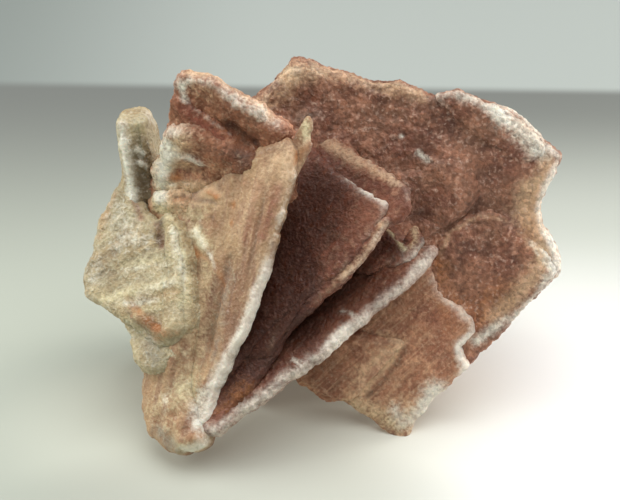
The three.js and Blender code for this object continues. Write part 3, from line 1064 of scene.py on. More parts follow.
@dataclass
class Fan(Assembly):
    """Three blades that open like a book from one spine at the front left."""

    front: Blade = Blade(
        name="front_blade", index=0, at=(-24, -34, 13), turn=-42, lean=26,
        sheets=[
            # The cover of the fan: its free edge runs up the right side.
            Sheet(3.6, [
                (-5, 69.6), (-2.4, 71), (-0.6, 70.2), (0.9, 67.5), (1.8, 63.5), (2, 58), (2.5, 50), (3, 40),
                (3, 33), (2, 25.5), (-0.5, 15), (-1.5, 8), (-1, 1), (-4, -6), (-12, -6), (-17, 6), (-23, 18),
                (-31, 32), (-34, 44), (-30, 47.5), (-26, 50.5), (-22, 53), (-19, 54.8), (-16, 57.6),
                (-13.4, 61), (-11.2, 64.3), (-8.9, 67.4),
            ]),
            # A thin lamina behind it, which ends in the topmost tip.
            Sheet(1.9, [
                (-0.9, 77.3), (0.3, 76.9), (1.2, 75), (1.2, 73.6), (2.3, 71.8), (2.1, 69), (1.5, 66),
                (0.8, 62), (0.2, 52), (-6, 40), (-12, 56), (-6, 66), (-2.6, 67.6), (-2, 70), (-2, 73),
            ], -2),
            # The lumpy broken foot of the spine, below the left blade.
            Sheet(8, [
                (-12, 21), (-19, 18.5), (-23.5, 12), (-22, 7), (-21, 1), (-17.5, -6.5), (-11.5, -9.8),
                (-4.5, -9.8), (0.5, -5), (-4, 2), (-7, 6), (-10, 14),
            ], 0.6),
        ],
        habit=Habit.STREAKED, finish=TAN_COVER, rim_reach=2.3, rim_white=0.2,
        white_edges=[
            mark(5, 0.8,
                (-14.2, -27.2, 46.3), (-19.5, -30.3, 34.2), (-23.9, -32.8, 24.4), (-26.4, -35.2, 17.4)
            ),
            mark(2.4, 0.3, (-8.9, -20.9, 63), (-11.8, -24.2, 54.1), (-14.2, -27.2, 46.3)),
        ],
        bumps=[
            mark(1.8, 1.1, (-30.7, -9.9, 51.7), (-29.3, -11.6, 50.4)),
            mark(0.9, 0.6, (-27.7, -13, 49.6), (-26.6, -14.8, 47.8)),
            mark(1, 1, (-29.2, -5.4, 60.8), (-26.9, -6.3, 61.2), (-24.6, -8, 60.6)),
            mark(1.8, 0.9, (-37.8, -34.6, 10.6)), mark(1.5, 0.8, (-33.6, -37.6, 9.6)),
            mark(1.4, -0.7, (-35.6, -33.6, 14.6)), mark(1.6, 0.9, (-29.8, -38.6, 10.6)),
            mark(1.1, -0.6, (-32.2, -36.6, 12.6)), mark(1.8, 0.8, (-38, -30.8, 15.4)),
            mark(1, 0.6, (-30, -6.4, 57.4)), mark(0.9, 0.6, (-27.4, -7.6, 58.4)),
            mark(1, 0.6, (-31.5, -7, 54.6)), mark(0.9, 0.5, (-28, -9, 56)),
            mark(1.4, -0.5, (-23, -17.8, 48.4), (-25.2, -21.4, 39.9), (-27.5, -25.9, 30)),
            mark(2.4, 0.4, (-11.8, -12.5, 71.9), (-15.9, -14.4, 63.5), (-20.8, -16.4, 53.7)),
        ],
        cream=[
            mark(4, 0.4, (-28.3, -14.1, 46.8), (-30.5, -22, 31.8), (-31.5, -28.1, 21.2)),
            mark(1.6, 0.8, (-3.9, -9.1, 80.5), (-3.4, -10.8, 78.4)),
            mark(4, 0.55, (-35, -32.5, 9.6), (-38.4, -27.8, 12.2), (-33.3, -30.3, 18.4)),
            mark(2.4, 0.9, (-34, -38.2, 7.6), (-31, -39.2, 8.4), (-27.4, -38, 9.8), (-25.8, -38, 12.4)),
            mark(1.8, 0.35, (-34.5, -4.1, 56.4), (-30.7, -5.8, 57.3), (-26.9, -8, 58.5)),
            mark(1.6, 0.4, (-33.3, -5.4, 54.3), (-29.5, -7.5, 55.5)),
            mark(2.3, 0.95, (-30.9, -9.6, 51.9), (-29.2, -11.6, 50.4)),
        ],
        tan=[
            mark(1.6, 0.9, (-29.2, -5.4, 60.8), (-26.9, -6.3, 61.2), (-24.6, -8, 60.6)),
            mark(2.4, 0.4, (-29.4, -17, 42.6), (-29.4, -23.9, 29.9)),
            mark(2.2, 0.6, (-34.5, -4.1, 57.4), (-30.7, -5.8, 58.6), (-26.9, -7.8, 59.6)),
            mark(2.6, 0.6, (-6, -15, 76), (-9.4, -18.5, 66.8)),
            mark(2.4, 0.5, (-11.8, -12.5, 71.9), (-15.9, -14.4, 63.5), (-20.8, -16.4, 53.7)),
            mark(4, 0.55, (-8.5, -13.1, 75.6), (-7.5, -15.4, 73.4)),
        ],
        dark_and_shade=[
            mark(1.6, 0.4, (-23, -17.8, 48.4), (-25.2, -21.4, 39.9), (-27.5, -25.9, 30)),
            mark(1.4, 0.3, (-20.1, -13.6, 59), (-22.5, -17.2, 50)),
            # Painted shadow under the curled lip's fold.
            mark(0.8, 0.65, (-30.4, -5.4, 58.6), (-27.8, -6.8, 59.2), (-25.4, -8, 59.4)),
            mark(1.1, 0.35, (-28.5, -27, 26), (-30, -31, 19)),
            mark(1.6, 0.25, (-36.7, -27.8, 20.9), (-38.3, -28.6, 17.4)),
            mark(1.1, 0.25, (-34.4, -30.6, 17.6), (-35.6, -32.6, 14)), mark(0.8, 0.6, (-26.6, -9.6, 56.2)),
            mark(0.7, 0.6, (-29.2, -9.2, 53.4)),
        ],
        grey=[
            mark(2.6, 0.7, (-39.6, -33, 9), (-37, -35.4, 8.4), (-35, -37.6, 7.4)),
            mark(2.2, 0.4, (-22, -19.8, 46.4), (-24.2, -23.4, 37.9), (-26, -28, 29)),
        ],
        rust=[
            mark(2.6, 0.9, (-29.4, -37, 10.4)),
            mark(1.2, 0.7,
                (-30.6, -11.3, 48), (-32.1, -15.7, 39.3), (-33.1, -20.4, 30.7), (-34.6, -24.1, 23)
            ),
            mark(1.1, 0.5, (-29.6, -12.6, 47.4), (-26, -15.9, 47.3), (-24, -20.2, 43.4)),
            mark(1, 0.9, (-21.1, -11.6, 60.6)), mark(0.9, 0.8, (-21.6, -13.7, 56.8)),
            mark(0.8, 0.6, (-28.6, -5.6, 61), (-26.6, -6.5, 61.2), (-24.4, -8.1, 60.6)),
            mark(0.8, 0.7, (-25, -7.9, 60.9)), mark(1, 0.8, (-5.3, -12.6, 75.6), (-6.4, -13.8, 73)),
            mark(0.9, 0.5, (-3.2, -11.7, 77.9), (-3.4, -12.6, 76)),
        ],
        red=[
            mark(1.6, 0.7, (-30.4, -35.3, 11.6)),
            mark(2.2, 0.5, (-10.4, -16.7, 67.4), (-12.3, -18.7, 61.8), (-14.2, -20.1, 57.1)),
            mark(1.2, 0.4, (-14.2, -13.5, 67.1), (-15.9, -15, 62.5), (-18.1, -18.2, 54.7)),
        ],
        pale=[
            mark(1.6, 0.6, (-30.8, -9.7, 51.8), (-29.3, -11.5, 50.5)),
            mark(0.9, 0.6, (-28.2, -12.6, 49.8), (-27, -14.4, 48.2)),
            mark(0.8, 0.45, (-26.8, -15, 47.6), (-26, -16.6, 46.2)),
            mark(1.6, 0.55, (-5.4, -15.8, 71.6), (-8, -19.4, 64.8), (-10.2, -22, 58.6)),
            mark(2.4, 0.6, (-28.2, -32.1, 19.6), (-30.4, -34.7, 12.6)),
            mark(2.4, 0.6, (-25.7, -36.3, 16.7), (-23.2, -39.1, 15.8)),
            mark(1.8, 0.8, (-33, -38.8, 7.4), (-30.2, -39.4, 8.6), (-27.2, -38, 10.4)),
            mark(1.6, 0.6, (-29.2, -36.2, 13.7), (-26.8, -37.4, 12.6)),
            mark(1.2, 0.4, (-36.8, -31, 14), (-37.8, -29.4, 17)),
        ],
        rear_dark=0.45,
    )
    second: Blade = Blade(
        name="second_blade", index=1, at=(-24, -34, 12), turn=-37, lean=41,
        sheets=[
            Sheet(2.6, [
                (0.5, 0), (4, 7.5), (7.5, 16.5), (9.5, 26.5), (12.5, 35.5), (18, 44.5), (21, 54), (22.5, 60),
                (26, 63.5), (26.5, 67.5), (24, 70.5), (15, 73), (3.5, 75.5), (-8, 77.5), (-20, 72),
                (-29, 55), (-33, 36), (-31, 16), (-19, 2), (-6, -3),
            ]),
            # The upper lamina, broken back along its top.
            Sheet(2.2, [
                (-1, 10), (2.5, 20), (5.6, 27.6), (8.6, 33), (12, 38.6), (15, 43.6), (17.4, 47.6),
                (19.2, 51.5), (20.4, 56), (21.4, 61.6), (21.8, 65.4), (19, 65.8), (13.8, 66.4), (6, 68.4),
                (-2, 71.5), (-10, 73), (-20, 62), (-26, 45), (-22, 22), (-10, 8),
            ], 1.9),
            # The outer leaf along the lower edge, which ends in a tip of its own.
            Sheet(1.8, [
                (23.6, 62), (23, 57.5), (22.3, 53.6), (20.9, 49.4), (19, 45.8), (16.7, 41.6), (14.4, 37.6),
                (12, 33.4), (9.3, 28.5), (8, 22), (3, 20), (5, 30), (9, 40), (13, 48), (17, 55), (20.8, 61),
            ], 1.3),
        ],
        habit=Habit.LEAFED, finish=MAROON_LEAF, fillet=2.4, spacing=0.48, rim_white=0.04,
        white_edges=[
            mark(2.6, 0.6, (6.8, -6.1, 65.9), (11, -11, 64.3), (15, -14.7, 63.6)),
            mark(4, 0.2, (10.4, -4.5, 67.7), (20.4, -14.3, 65.6)),
            mark(2.4, 0.35, (14.4, -18.7, 59.6), (8.3, -23.3, 51.1), (5.4, -23.9, 48.7)),
        ],
        tan=[
            mark(1.4, 0.75, (14.4, -18.7, 59.6), (11.6, -21.6, 55), (8.3, -23.3, 51.1), (5.4, -23.9, 48.7)),
            mark(1.2, 0.5, (5.4, -23.9, 48.7), (1.7, -24.7, 45.3), (-1.7, -25.7, 42)),
            mark(1, 0.5, (-10.8, -26, 35.4), (-12.7, -29.9, 30.6), (-15.5, -33, 25.7)),
            mark(1.8, 0.55, (-4.1, 10.2, 71.2), (3.3, 2.2, 68.9), (10.4, -4.5, 67.7), (17.4, -10.7, 66.9)),
            mark(2.6, 0.1, (2.2, 1.8, 68.5), (7, -3.2, 66.9)),
        ],
        pale=[mark(0.9, 0.7, (11, -11, 64.3), (15, -14.7, 63.6))],
        rust=[mark(4, 0.5, (-19.6, -34.1, 21.9), (-23, -36.5, 16.5))],
        # Painted shade of the wedge behind the front blade, darkest deep inside.
        dark_and_shade=[
            mark(10.5, 1,
                (-0.4, -5.5, 60.4), (-5.3, -10.8, 53.3), (-8.9, -16.6, 45.4), (-14.4, -21.4, 37.1)
            ),
            mark(8, 0.8, (-14.4, -21.4, 37.1), (-18, -28, 27)), mark(6, 1, (-6, -20, 42), (-12, -25, 33)),
            mark(4.4, 0.65, (-20.8, -31.5, 22), (-23.2, -32.3, 19.6)),
        ],
    )
    third: Blade = Blade(
        name="third_blade", index=2, at=(-24, -34, 12), turn=-38, lean=54,
        sheets=[
            Sheet(4.2, [
                (1, -1.5), (5.5, 5.5), (10, 13.5), (14, 21.5), (18.5, 31), (22.5, 41.5), (26.5, 50),
                (29, 56.5), (29, 63), (24, 61), (13, 66), (0, 66), (-14, 60), (-25, 44), (-30, 26), (-26, 9),
                (-14, -2),
            ]),
            # Two short flakes that stand up at the outer corner.
            Sheet(1.8, [
                (15.2, 60.5), (16.3, 62.3), (18.2, 61.6), (19.9, 61), (21.9, 60.3), (23.6, 59.6), (22.4, 56),
                (18, 50), (12, 50), (12, 56),
            ], 2.8),
            Sheet(1.4, [
                (21.8, 61), (21.8, 63.9), (22.5, 65.6), (24.5, 64.4), (26.2, 63), (26.4, 60), (25.8, 56.5),
                (20, 53), (18, 57),
            ], 2.2),
        ],
        habit=Habit.LEAFED, finish=MAROON_LEAF, fillet=2.4, rim_reach=2.3, rim_white=0.1,
        white_edges=[
            mark(6, 0.55, (3.5, -27, 32.5), (-6, -31.5, 25.9), (-14.8, -34.8, 20), (-25.2, -36.7, 14.3)),
            mark(5, 0.55, (24.9, -15.6, 48.8), (17.5, -23.3, 41.1), (5.5, -27.3, 33.4)),
        ],
        # Mostly painted shadow: on the face under the leaf's edge and in the gaps by the flakes.
        dark_and_shade=[
            mark(6, 0.6, (4.5, -16, 39.4), (-5.3, -24.3, 30.3)),
            mark(4, 0.35, (15, -9, 49.9), (10, -14, 44)),
            mark(0.8, 0.75, (18, -8, 51.8), (19.6, -9.6, 51), (20.6, -11.6, 50.2)),
            mark(1.8, 0.5, (16.6, -11.2, 49.8), (18.4, -14, 48.6)),
            mark(0.9, 0.9, (24.4, -11.6, 51.4), (24.8, -13.2, 50.4)),
        ],
        cream=[
            mark(0.6, 0.9, (15.8, -7, 51.8), (17.3, -9, 51), (18.6, -11.3, 50.3), (20, -13.6, 49.4)),
            mark(1.3, 0.4, (22.4, -8.8, 52.6), (22.7, -11, 51.4), (22.3, -13.4, 49.8)),
        ],
        tan=[
            mark(1.5, 0.3, (22.4, -8.8, 52.6), (22.7, -11, 51.4), (22.3, -13.4, 49.8)),
            mark(1.2, 0.35, (24.9, -15.4, 48.9), (17.5, -23.3, 41.1), (5.5, -27.3, 33.4)),
        ],
        pale=[
            mark(0.8, 0.5, (5.1, -21.3, 36.7), (8.5, -23.7, 36.8)),
            mark(0.8, 0.6, (-6.9, -28.4, 27.3), (-5, -30, 27.2)),
        ],
    )


@dataclass
class LeftBlades(Assembly):
    """The thick blade that wraps the left side, and the three small blades that stand behind it."""

    left: Blade = Blade(
        name="left_blade", index=5, at=(-29, -17, 38), turn=-32, lean=36,
        sheets=[
            Sheet(7, [
                (-24.5, 22.8), (-28.5, 22), (-30.5, 13), (-30, 4), (-30, -2.5), (-28, -7), (-24, -8.5),
                (-18.5, -9.5), (-12, -11), (-5, -13), (0, -11.5), (3, -5), (0.5, 3), (-3, 11), (-7.5, 16.5),
                (-11, 17.8), (-13.5, 17.6), (-15.8, 16), (-19.8, 17.2),
            ]),
            # The ridge of thick crust that runs down from the upright slab.
            Sheet(5, [
                (-10.6, 15.4), (-8.4, 14.8), (-4, 8), (-1, 1), (2, -7), (-2, -9), (-7, 3), (-11, 13),
            ], 2.2),
            # A step across the lower edge.
            Sheet(7, [(-20, -7), (-13, -13), (-9, -19), (-3, -19), (2, -13), (3, -4), (-8, -3)], -2.4),
        ],
        habit=Habit.CRUST, finish=CREAM_CRUST, spacing=0.42, rim_white=0.1,
        white_edges=[mark(4, 0.35, (-56.2, -5.2, 41), (-56.8, -9.5, 35.5))],
        fillet=2.4,
        bumps=[
            mark(1.6, 0.9, (-30.7, -11, 52.9), (-28.7, -14, 50.9)),
            mark(1.2, 0.6, (-35.5, -7.4, 53.6), (-33.9, -11.8, 49.7), (-31.8, -15.8, 46.4)),
            mark(1.6, 0.7, (-35.5, -17.5, 41.8), (-44.4, -14.7, 38.6)),
            mark(1.8, -1.2, (-44.2, -21.1, 31.2), (-39.1, -25.6, 29.7)),
            mark(1.6, 0.9, (-43.8, -19.4, 33.6), (-41.2, -22.4, 32), (-37.6, -24.4, 32.2)),
            mark(2.4, 0.9, (-38.9, -32, 22.4)), mark(2, 0.8, (-33.9, -36.3, 21)),
            mark(1.8, -1, (-41.7, -2, 55.4), (-39.6, -6.2, 52.1), (-38.5, -9.9, 48.6)),
            mark(0.9, -0.8, (-40.6, -7.6, 49.6)), mark(0.9, -0.7, (-38.4, -12.4, 46.8), (-40.4, -12.2, 45)),
            mark(0.9, 0.6, (-42.4, -10.2, 47)),
        ],
        cream=[
            mark(1.5, 0.6, (-33, -17.7, 43.3), (-44.4, -14.7, 38.6), (-54.7, -12.1, 34.2)),
            mark(1.5, 0.5, (-34.2, -20.4, 39.3), (-41.8, -18.6, 35.9), (-51.4, -16.9, 30.8)),
            mark(2, 0.4, (-33.9, -13.4, 47.8), (-42, -11.2, 44.5), (-52.3, -7.4, 41.4)),
            mark(2.2, 0.7,
                (-38.1, -6.1, 56.1), (-36.3, -9.4, 52.3), (-33.6, -16.6, 44.4), (-32.4, -20.7, 39.4)
            ),
        ],
        rust=[
            mark(1.4, 0.3,
                (-48.5, -16.8, 33), (-46.3, -18.1, 33.3), (-42.7, -20.5, 33.1), (-39.9, -22.6, 32.7)
            ),
            mark(1, 0.5, (-39.9, -22.6, 32.7), (-37.6, -24.1, 32.5), (-35.1, -24.8, 33.5)),
            mark(1.4, 0.3, (-41.6, -23.1, 30.7), (-39.1, -24.8, 30.7)),
            mark(2.2, 0.25,
                (-43.5, -20.6, 33.2), (-41.5, -22.1, 32.8), (-39.5, -23.4, 33), (-37.9, -25.3, 33.1)
            ),
            mark(0.8, 0.5, (-47.9, -14.8, 36.7), (-44, -18.5, 34.9)),
            mark(1.6, 0.4, (-52.1, 4.1, 54.9), (-54.1, 1.6, 50.6), (-55.1, -1.3, 46.5)),
            mark(0.9, 0.35, (-34.5, -19.5, 41), (-46, -16.5, 37)),
            mark(0.8, 0.45, (-47, -16.6, 34.8), (-43.6, -19.6, 34.6), (-40.6, -21.6, 34.4)),
            mark(1, 0.3, (-35.4, -7.7, 55.7), (-33.3, -14.2, 49.7)),
        ],
        red=[
            mark(1, 0.25, (-43.8, -19.4, 33.6), (-41.2, -22.4, 32), (-37.6, -24.4, 32.2)),
            mark(1.1, 0.7, (-45.8, 0.6, 55.4), (-44.7, -2.8, 52.2)),
            mark(1.1, 0.6, (-42.2, -1.8, 55.3), (-40.6, -5.7, 51.8), (-39.5, -9.4, 48.3)),
        ],
        pale=[
            mark(1.2, 0.55, (-37.4, -7.2, 54.6), (-35.6, -11, 50.6)),
            mark(1.5, 0.45, (-35, -12.6, 49), (-34, -15.6, 45.6)),
            mark(1.3, 0.3, (-33.6, -16.6, 44.4), (-32.8, -18.6, 42)), mark(1, 0.8, (-42, -6.4, 51.5)),
            mark(0.9, 0.7, (-44.6, -7.6, 48.6), (-42.8, -9, 47.4)),
            mark(1, 0.5, (-48, -15.6, 35.2), (-40, -18.6, 38.2)),
            mark(1.1, 0.4, (-35, -18, 43), (-39.5, -16.6, 41), (-44.4, -15.6, 38.2)),
            mark(0.9, 0.3, (-37, -14, 46), (-43, -11.6, 43.6), (-49, -9.6, 41.4)),
            mark(1.2, 0.3, (-42, -7.2, 49.6), (-47.4, -5, 46.6), (-52.4, -3.6, 44.6)),
            mark(4.5, 0.35, (-49.6, 0.4, 51.8), (-47.6, -3.6, 49)),
            mark(2, 0.5, (-56.4, -6, 42.4), (-57, -8.4, 38)),
        ],
        grey=[
            mark(3.6, 0.4, (-54.9, -7.1, 39.8), (-51, -5.4, 44.6)),
            mark(2.8, 0.7, (-42.5, -22.5, 28), (-40.5, -24.5, 25.4)),
            mark(3.4, 0.35, (-38.9, -32, 22.4), (-34.5, -35.5, 21.4)),
        ],
        dark_and_shade=[
            mark(1, 0.45, (-40.2, -4, 53), (-39.7, -7.8, 48.9)),
            mark(0.9, 0.5, (-44, -20.1, 34.2), (-39, -22.8, 33)),
            mark(2.2, 0.3, (-46.2, -17.8, 34.1), (-41.5, -21.5, 33.6)),
            mark(0.6, 0.4, (-48.2, -16.4, 34.6), (-45.2, -19.2, 32.2), (-42.6, -21.8, 31.4)),
            mark(0.5, 0.45, (-45.4, -17.4, 35.4), (-42.4, -20.4, 34.8), (-38.4, -23.4, 32.8)),
            mark(0.9, 0.25, (-41.4, -9.2, 47.6), (-42.6, -12.4, 44.2), (-43.4, -15, 40.4)),
            mark(0.9, 0.75, (-39.6, -5.2, 52.4)), mark(0.8, 0.7, (-40.8, -7.4, 49.8), (-40.2, -8.4, 49)),
            mark(0.8, 0.7, (-38.4, -9.6, 49)), mark(0.7, 0.55, (-41.8, -9.6, 47.4)),
            mark(0.8, 0.55, (-38.4, -12.6, 46.6)), mark(0.6, 0.5, (-40.6, -12.4, 44.8)),
            mark(0.6, 0.4, (-36.6, -16.8, 43.4)),
        ],
        glass=[
            mark(1.5, 0.8, (-40.6, -2.6, 54.4), (-39.5, -5.4, 51.5), (-39.9, -7.8, 48.7)),
            mark(1.2, 0.5, (-44.1, -5.4, 49.7)), mark(1.5, 0.7, (-38.2, -11.6, 48.2)),
        ],
    )
    slab: Blade = Blade(
        name="upright_slab", index=6, at=(-43.6, 2.5, 76.5), turn=90, lean=6,
        sheets=[
            # It stands edge-on: its broken end looks to the front, and its face to the right.
            Sheet(8, [
                (-1, -32), (-0.5, -15), (0.6, -2.6), (3.4, -0.4), (11, -2), (18, -8), (23, -22), (20, -38),
                (6, -48), (-1, -44),
            ]),
        ],
        habit=Habit.GLASSY, finish=CREAM_CRUST, spacing=0.36, rim_white=0.1,
        # The broken end has a bare glassy core, sunk between two crusts.
        bumps=[
            mark(3.4, -1.1, (-44.9, 1.6, 76.5), (-43.4, 1.6, 69.5), (-42.6, 1.6, 59.1), (-42.5, 1.6, 52)),
            mark(1, 0.6, (-48.3, 1.6, 75.4), (-47, 1.6, 66.4), (-45.6, 1.6, 55)),
            mark(1.1, 0.6, (-39.4, 1.6, 74.1), (-38.6, 1.6, 63.2), (-38.7, 1.6, 50.6)),
            mark(1, 1, (-44.8, 0.6, 68.7)), mark(1.1, 1.1, (-42.6, 0.6, 67.6)),
            mark(0.9, 0.9, (-44.2, 0.6, 65.6), (-43.6, 0.6, 64.4)), mark(0.8, 0.8, (-42.2, 0.6, 64.2)),
            mark(1.6, 0.9, (-48, 3.4, 75.4)), mark(1.4, -0.7, (-45.2, 4, 75.8)),
            mark(1.6, 0.9, (-42.4, 4.6, 75.6)),
        ],
        glass=[
            mark(2.1, 0.5, (-45.3, 1.6, 74.5), (-44.6, 1.6, 70)),
            mark(2, 0.4, (-42.6, 1.6, 74.5), (-42.4, 1.6, 70)),
            mark(2.3, 1, (-45, 1.6, 69.5), (-44.3, 1.6, 59.1), (-43.9, 1.6, 52)),
            mark(2.1, 1, (-42.2, 1.6, 69.5), (-41.6, 1.6, 59.1), (-41.8, 1.6, 52)),
        ],
        cream=[mark(3.2, 1, (-44.6, 1.6, 76.5), (-43.8, 1.6, 70.5))],
        grey=[mark(3, 0.35, (-45.5, 3.5, 76.4), (-42.5, 5.5, 76), (-41.6, 12, 72.6))],
        # Painted shade low in the sunken core, on its own darker glass.
        dark_and_shade=[mark(3.4, 0.75, (-43.4, 1.6, 66), (-43, 1.6, 52))],
        rust=[mark(2, 0.3, (-42.8, 1.6, 62), (-42.5, 1.6, 54))],
        pale=[
            mark(1.6, 1, (-48.7, 1.6, 75.6), (-48, 1, 66.4), (-46.7, 1, 54)),
            mark(1.3, 0.7, (-39.4, 1.6, 74.1), (-38.6, 1.6, 63.2), (-38.7, 1.6, 50.6)),
            mark(2.2, 0.4, (-42.5, 8.6, 74.9), (-41.7, 15, 69.6)),
            mark(1.1, 0.8, (-44.8, 0.6, 68.7), (-42.6, 0.6, 67.6)),
            mark(1, 0.7, (-44.2, 0.6, 65.6), (-42.2, 0.6, 64.2)),
        ],
        red=[mark(1.6, 0.45, (-48.8, 1.6, 76.3))],
    )
    upper: Blade = Blade(
        name="upper_blade", index=7, at=(-31, 1, 86), turn=-20, lean=-12,
        sheets=[
            Sheet(4.4, [
                (-0.5, 2.8), (4.5, 4.5), (11, 3), (16.5, 0), (21, -2.4), (23, -5), (26, -6.5), (27.4, -11),
                (26.5, -28), (18, -46), (2, -52), (-8, -38), (-3, -20), (-1, -11),
            ]),
            # A lower lamina on its face, broken along the top.
            Sheet(2, [
                (-1.2, -1.5), (1.5, -1.4), (5, -4.2), (9.9, -6.6), (13.2, -9.6), (15.7, -12.7), (19, -14.5),
                (21, -18), (20, -30), (8, -34), (-3, -26), (-2.6, -10),
            ], 2.5),
        ],
        habit=Habit.DRUSE, finish=RUST_DRUSE, spacing=0.42, rim_white=0.1,
        white_edges=[
            mark(4, 0.4, (-32.8, -3.2, 88.3), (-25.2, -5.9, 87.7), (-18.1, -8.1, 86.2), (-12.2, -9.3, 82.1)),
        ],
        bumps=[
            mark(1.8, -1.2, (-21.2, -4.8, 77.7), (-15, -5.8, 73.7)), mark(4, -0.5, (-29.5, -5, 85)),
        ],
        tan=[
            mark(3, 0.4, (-31, -4, 88), (-27, -5.5, 86.5)),
            mark(1.8, 0.7, (-31, -1.6, 91), (-25, -2.4, 90.4), (-18, -5.4, 86.8), (-12.2, -7.4, 82.2)),
        ],
        rust=[mark(1.8, 0.6, (-30, -4.2, 90.4))],
        red=[
            mark(2.2, 0.8, (-32.6, -2.5, 82.2), (-27.7, -4, 78.2), (-23, -5.5, 74.8)),
            mark(3, 0.3, (-11, -9, 79)),
        ],
        dark_and_shade=[
            # The first is painted shadow in the crevice along the groove.
            mark(2, 0.7, (-22, -5.6, 78.6), (-16, -6.8, 74.6)),
            mark(1.2, 0.4, (-32.1, -2.3, 80.8), (-28.7, -3.4, 77.4)),
            mark(3.5, 0.3, (-22, -6.4, 83), (-15, -8, 79)),
        ],
        pale=[
            mark(1.3, 0.7, (-33.1, -3.1, 88.2), (-31.1, -4.3, 90.1), (-27.4, -5.7, 90.7)),
            mark(1.1, 0.6, (-33.4, -2.7, 87.4), (-32.6, -2.7, 84.7)),
            mark(1.5, 0.6, (-23.5, -6.7, 88.6), (-20.7, -7, 85.4)),
            mark(2, 0.8, (-18.1, -8, 85.6), (-14.1, -8.9, 83.5)),
            mark(1.5, 0.5, (-10.4, -9.8, 81.3), (-8.5, -10.4, 80.8)),
            mark(0.8, 0.3, (-33.1, -2.5, 84.6), (-27.7, -4.4, 80.7), (-23, -5.9, 77.2), (-18.7, -6.5, 74.8)),
        ],
    )
    inner: Blade = Blade(
        name="inner_blade", index=8, at=(-31, -1, 76), turn=-18, lean=-11,
        sheets=[
            Sheet(5, [
                (-3.5, -2), (-0.9, 0.4), (2.3, 1.8), (5.5, 1.2), (8.4, -0.3), (12, -1.8), (16, -3.2),
                (21, -5), (24, -11), (21, -36), (5, -48), (-8, -42), (-9.5, -22), (-6, -8),
            ]),
            # A curled lip of stained crust where this blade meets the front one.
            Sheet(4.4, [(-8, -21), (-1, -17), (7, -21), (9, -29), (0, -36), (-8, -34)], 3.4),
        ],
        habit=Habit.DRUSE, finish=RUST_DRUSE, spacing=0.42, rim_white=0.15,
        white_edges=[mark(4, 0.6, (-39.3, -1.1, 67.3), (-35.2, -3.8, 74.1))],
        # A pocket of rust under the pale shoulder, closed below by a curled lip.
        bumps=[
            mark(1.8, -1.1, (-36.2, -2.6, 64.8), (-33.2, -3.2, 65.6), (-29, -4.1, 65.6)),
            mark(1.1, 1.6, (-38, -2.5, 59), (-35.5, -3, 60.2), (-31.5, -3.6, 60.8), (-29, -5.2, 61.6)),
            mark(0.9, 0.7, (-36.4, -3.2, 56.6), (-33, -4.4, 57.4), (-30.4, -5, 58.4)),
            mark(0.7, -0.6, (-35.6, -3.2, 58), (-31.6, -4, 59)),
            mark(2, 0.6, (-39, -0.4, 62), (-39, -1.2, 57)), mark(4, 0.7, (-33.5, -4.3, 73)),
            mark(0.9, 0.5, (-35.7, -3.2, 69.6), (-31.1, -4.5, 68.9), (-29.4, -4.7, 67.7)),
        ],
        rust=[
            mark(1.5, 0.8, (-37, -2, 63), (-35.2, -1.9, 63.2)),
            mark(1.4, 0.25, (-33.2, -2.5, 65.2), (-29, -3.5, 65.2)),
            mark(1, 0.45, (-37.4, -2.6, 59.6), (-34, -3.2, 60.6), (-30.4, -4.4, 61.2)),
            mark(0.6, 0.6, (-36, -3.2, 57.6), (-33, -3.8, 58.2), (-30, -5, 59.4)),
            mark(1.2, 0.35, (-38.6, -0.9, 65), (-38.4, -1.4, 58)),
        ],
        tan=[
            mark(4, 0.6, (-33.5, -4.3, 76), (-34.5, -3.5, 71)),
            mark(1.8, 0.6, (-36, -2.4, 66.4), (-31.5, -3.4, 66.4)),
            mark(2.4, 1, (-37.2, -2.6, 58.8), (-34.4, -3.2, 59.8), (-31.1, -3.6, 60.4), (-28.4, -5.4, 61.6)),
            mark(1.5, 0.9,
                (-36.6, -1.4, 59.8), (-34.5, -2.2, 60.6), (-31.4, -3.6, 61.4), (-29.5, -4.2, 61.7)
            ),
            mark(2.2, 0.8, (-35.5, -3.8, 55.8), (-33, -4.8, 56.5)),
            mark(3, 0.3, (-26, -6, 68), (-22, -7.4, 66)),
        ],
        cream=[
            mark(2.4, 0.4, (-34, -4.6, 75), (-35, -4, 71.5)),
            mark(2.8, 1, (-39, -1, 68), (-39, -0.4, 62), (-38.8, -1.2, 57.6), (-39.8, -1.8, 55)),
            mark(2.2, 0.6, (-38.8, -3.2, 55.2), (-36.4, -3.6, 54.6), (-33, -5, 54)),
            mark(2.6, 0.8, (-37.5, -3.2, 72), (-38.2, -2, 67.5)),
        ],
        pale=[
            mark(1.4, 0.65,
                (-35.7, -3.7, 69.9), (-32.8, -4.4, 69.7), (-31.1, -4.5, 68.9), (-29.2, -4.8, 67.8)
            ),
            mark(2.2, 0.95, (-37.5, -3.2, 72), (-38, -2.2, 67.5), (-39.4, -0.8, 63), (-39.4, -1.2, 57.6)),
            mark(0.7, 0.5, (-37, -1.2, 60.4), (-34, -2.4, 61.4), (-31.6, -3.4, 61.9)),
        ],
        dark_and_shade=[
            # The first is painted shadow under the curled lip.
            mark(0.8, 0.5, (-35.4, -3.2, 58), (-31.6, -4, 58.8), (-29.6, -5.2, 59.6)),
            mark(2.6, 0.5, (-18.3, -9.3, 74.2), (-12.2, -12.1, 78.2)),
            mark(3.6, 0.5, (-25.4, -7, 72.6), (-19.4, -7.9, 71.4)),
            mark(3, 0.4, (-20, -7.6, 66), (-16.5, -8.6, 70)),
        ],
    )


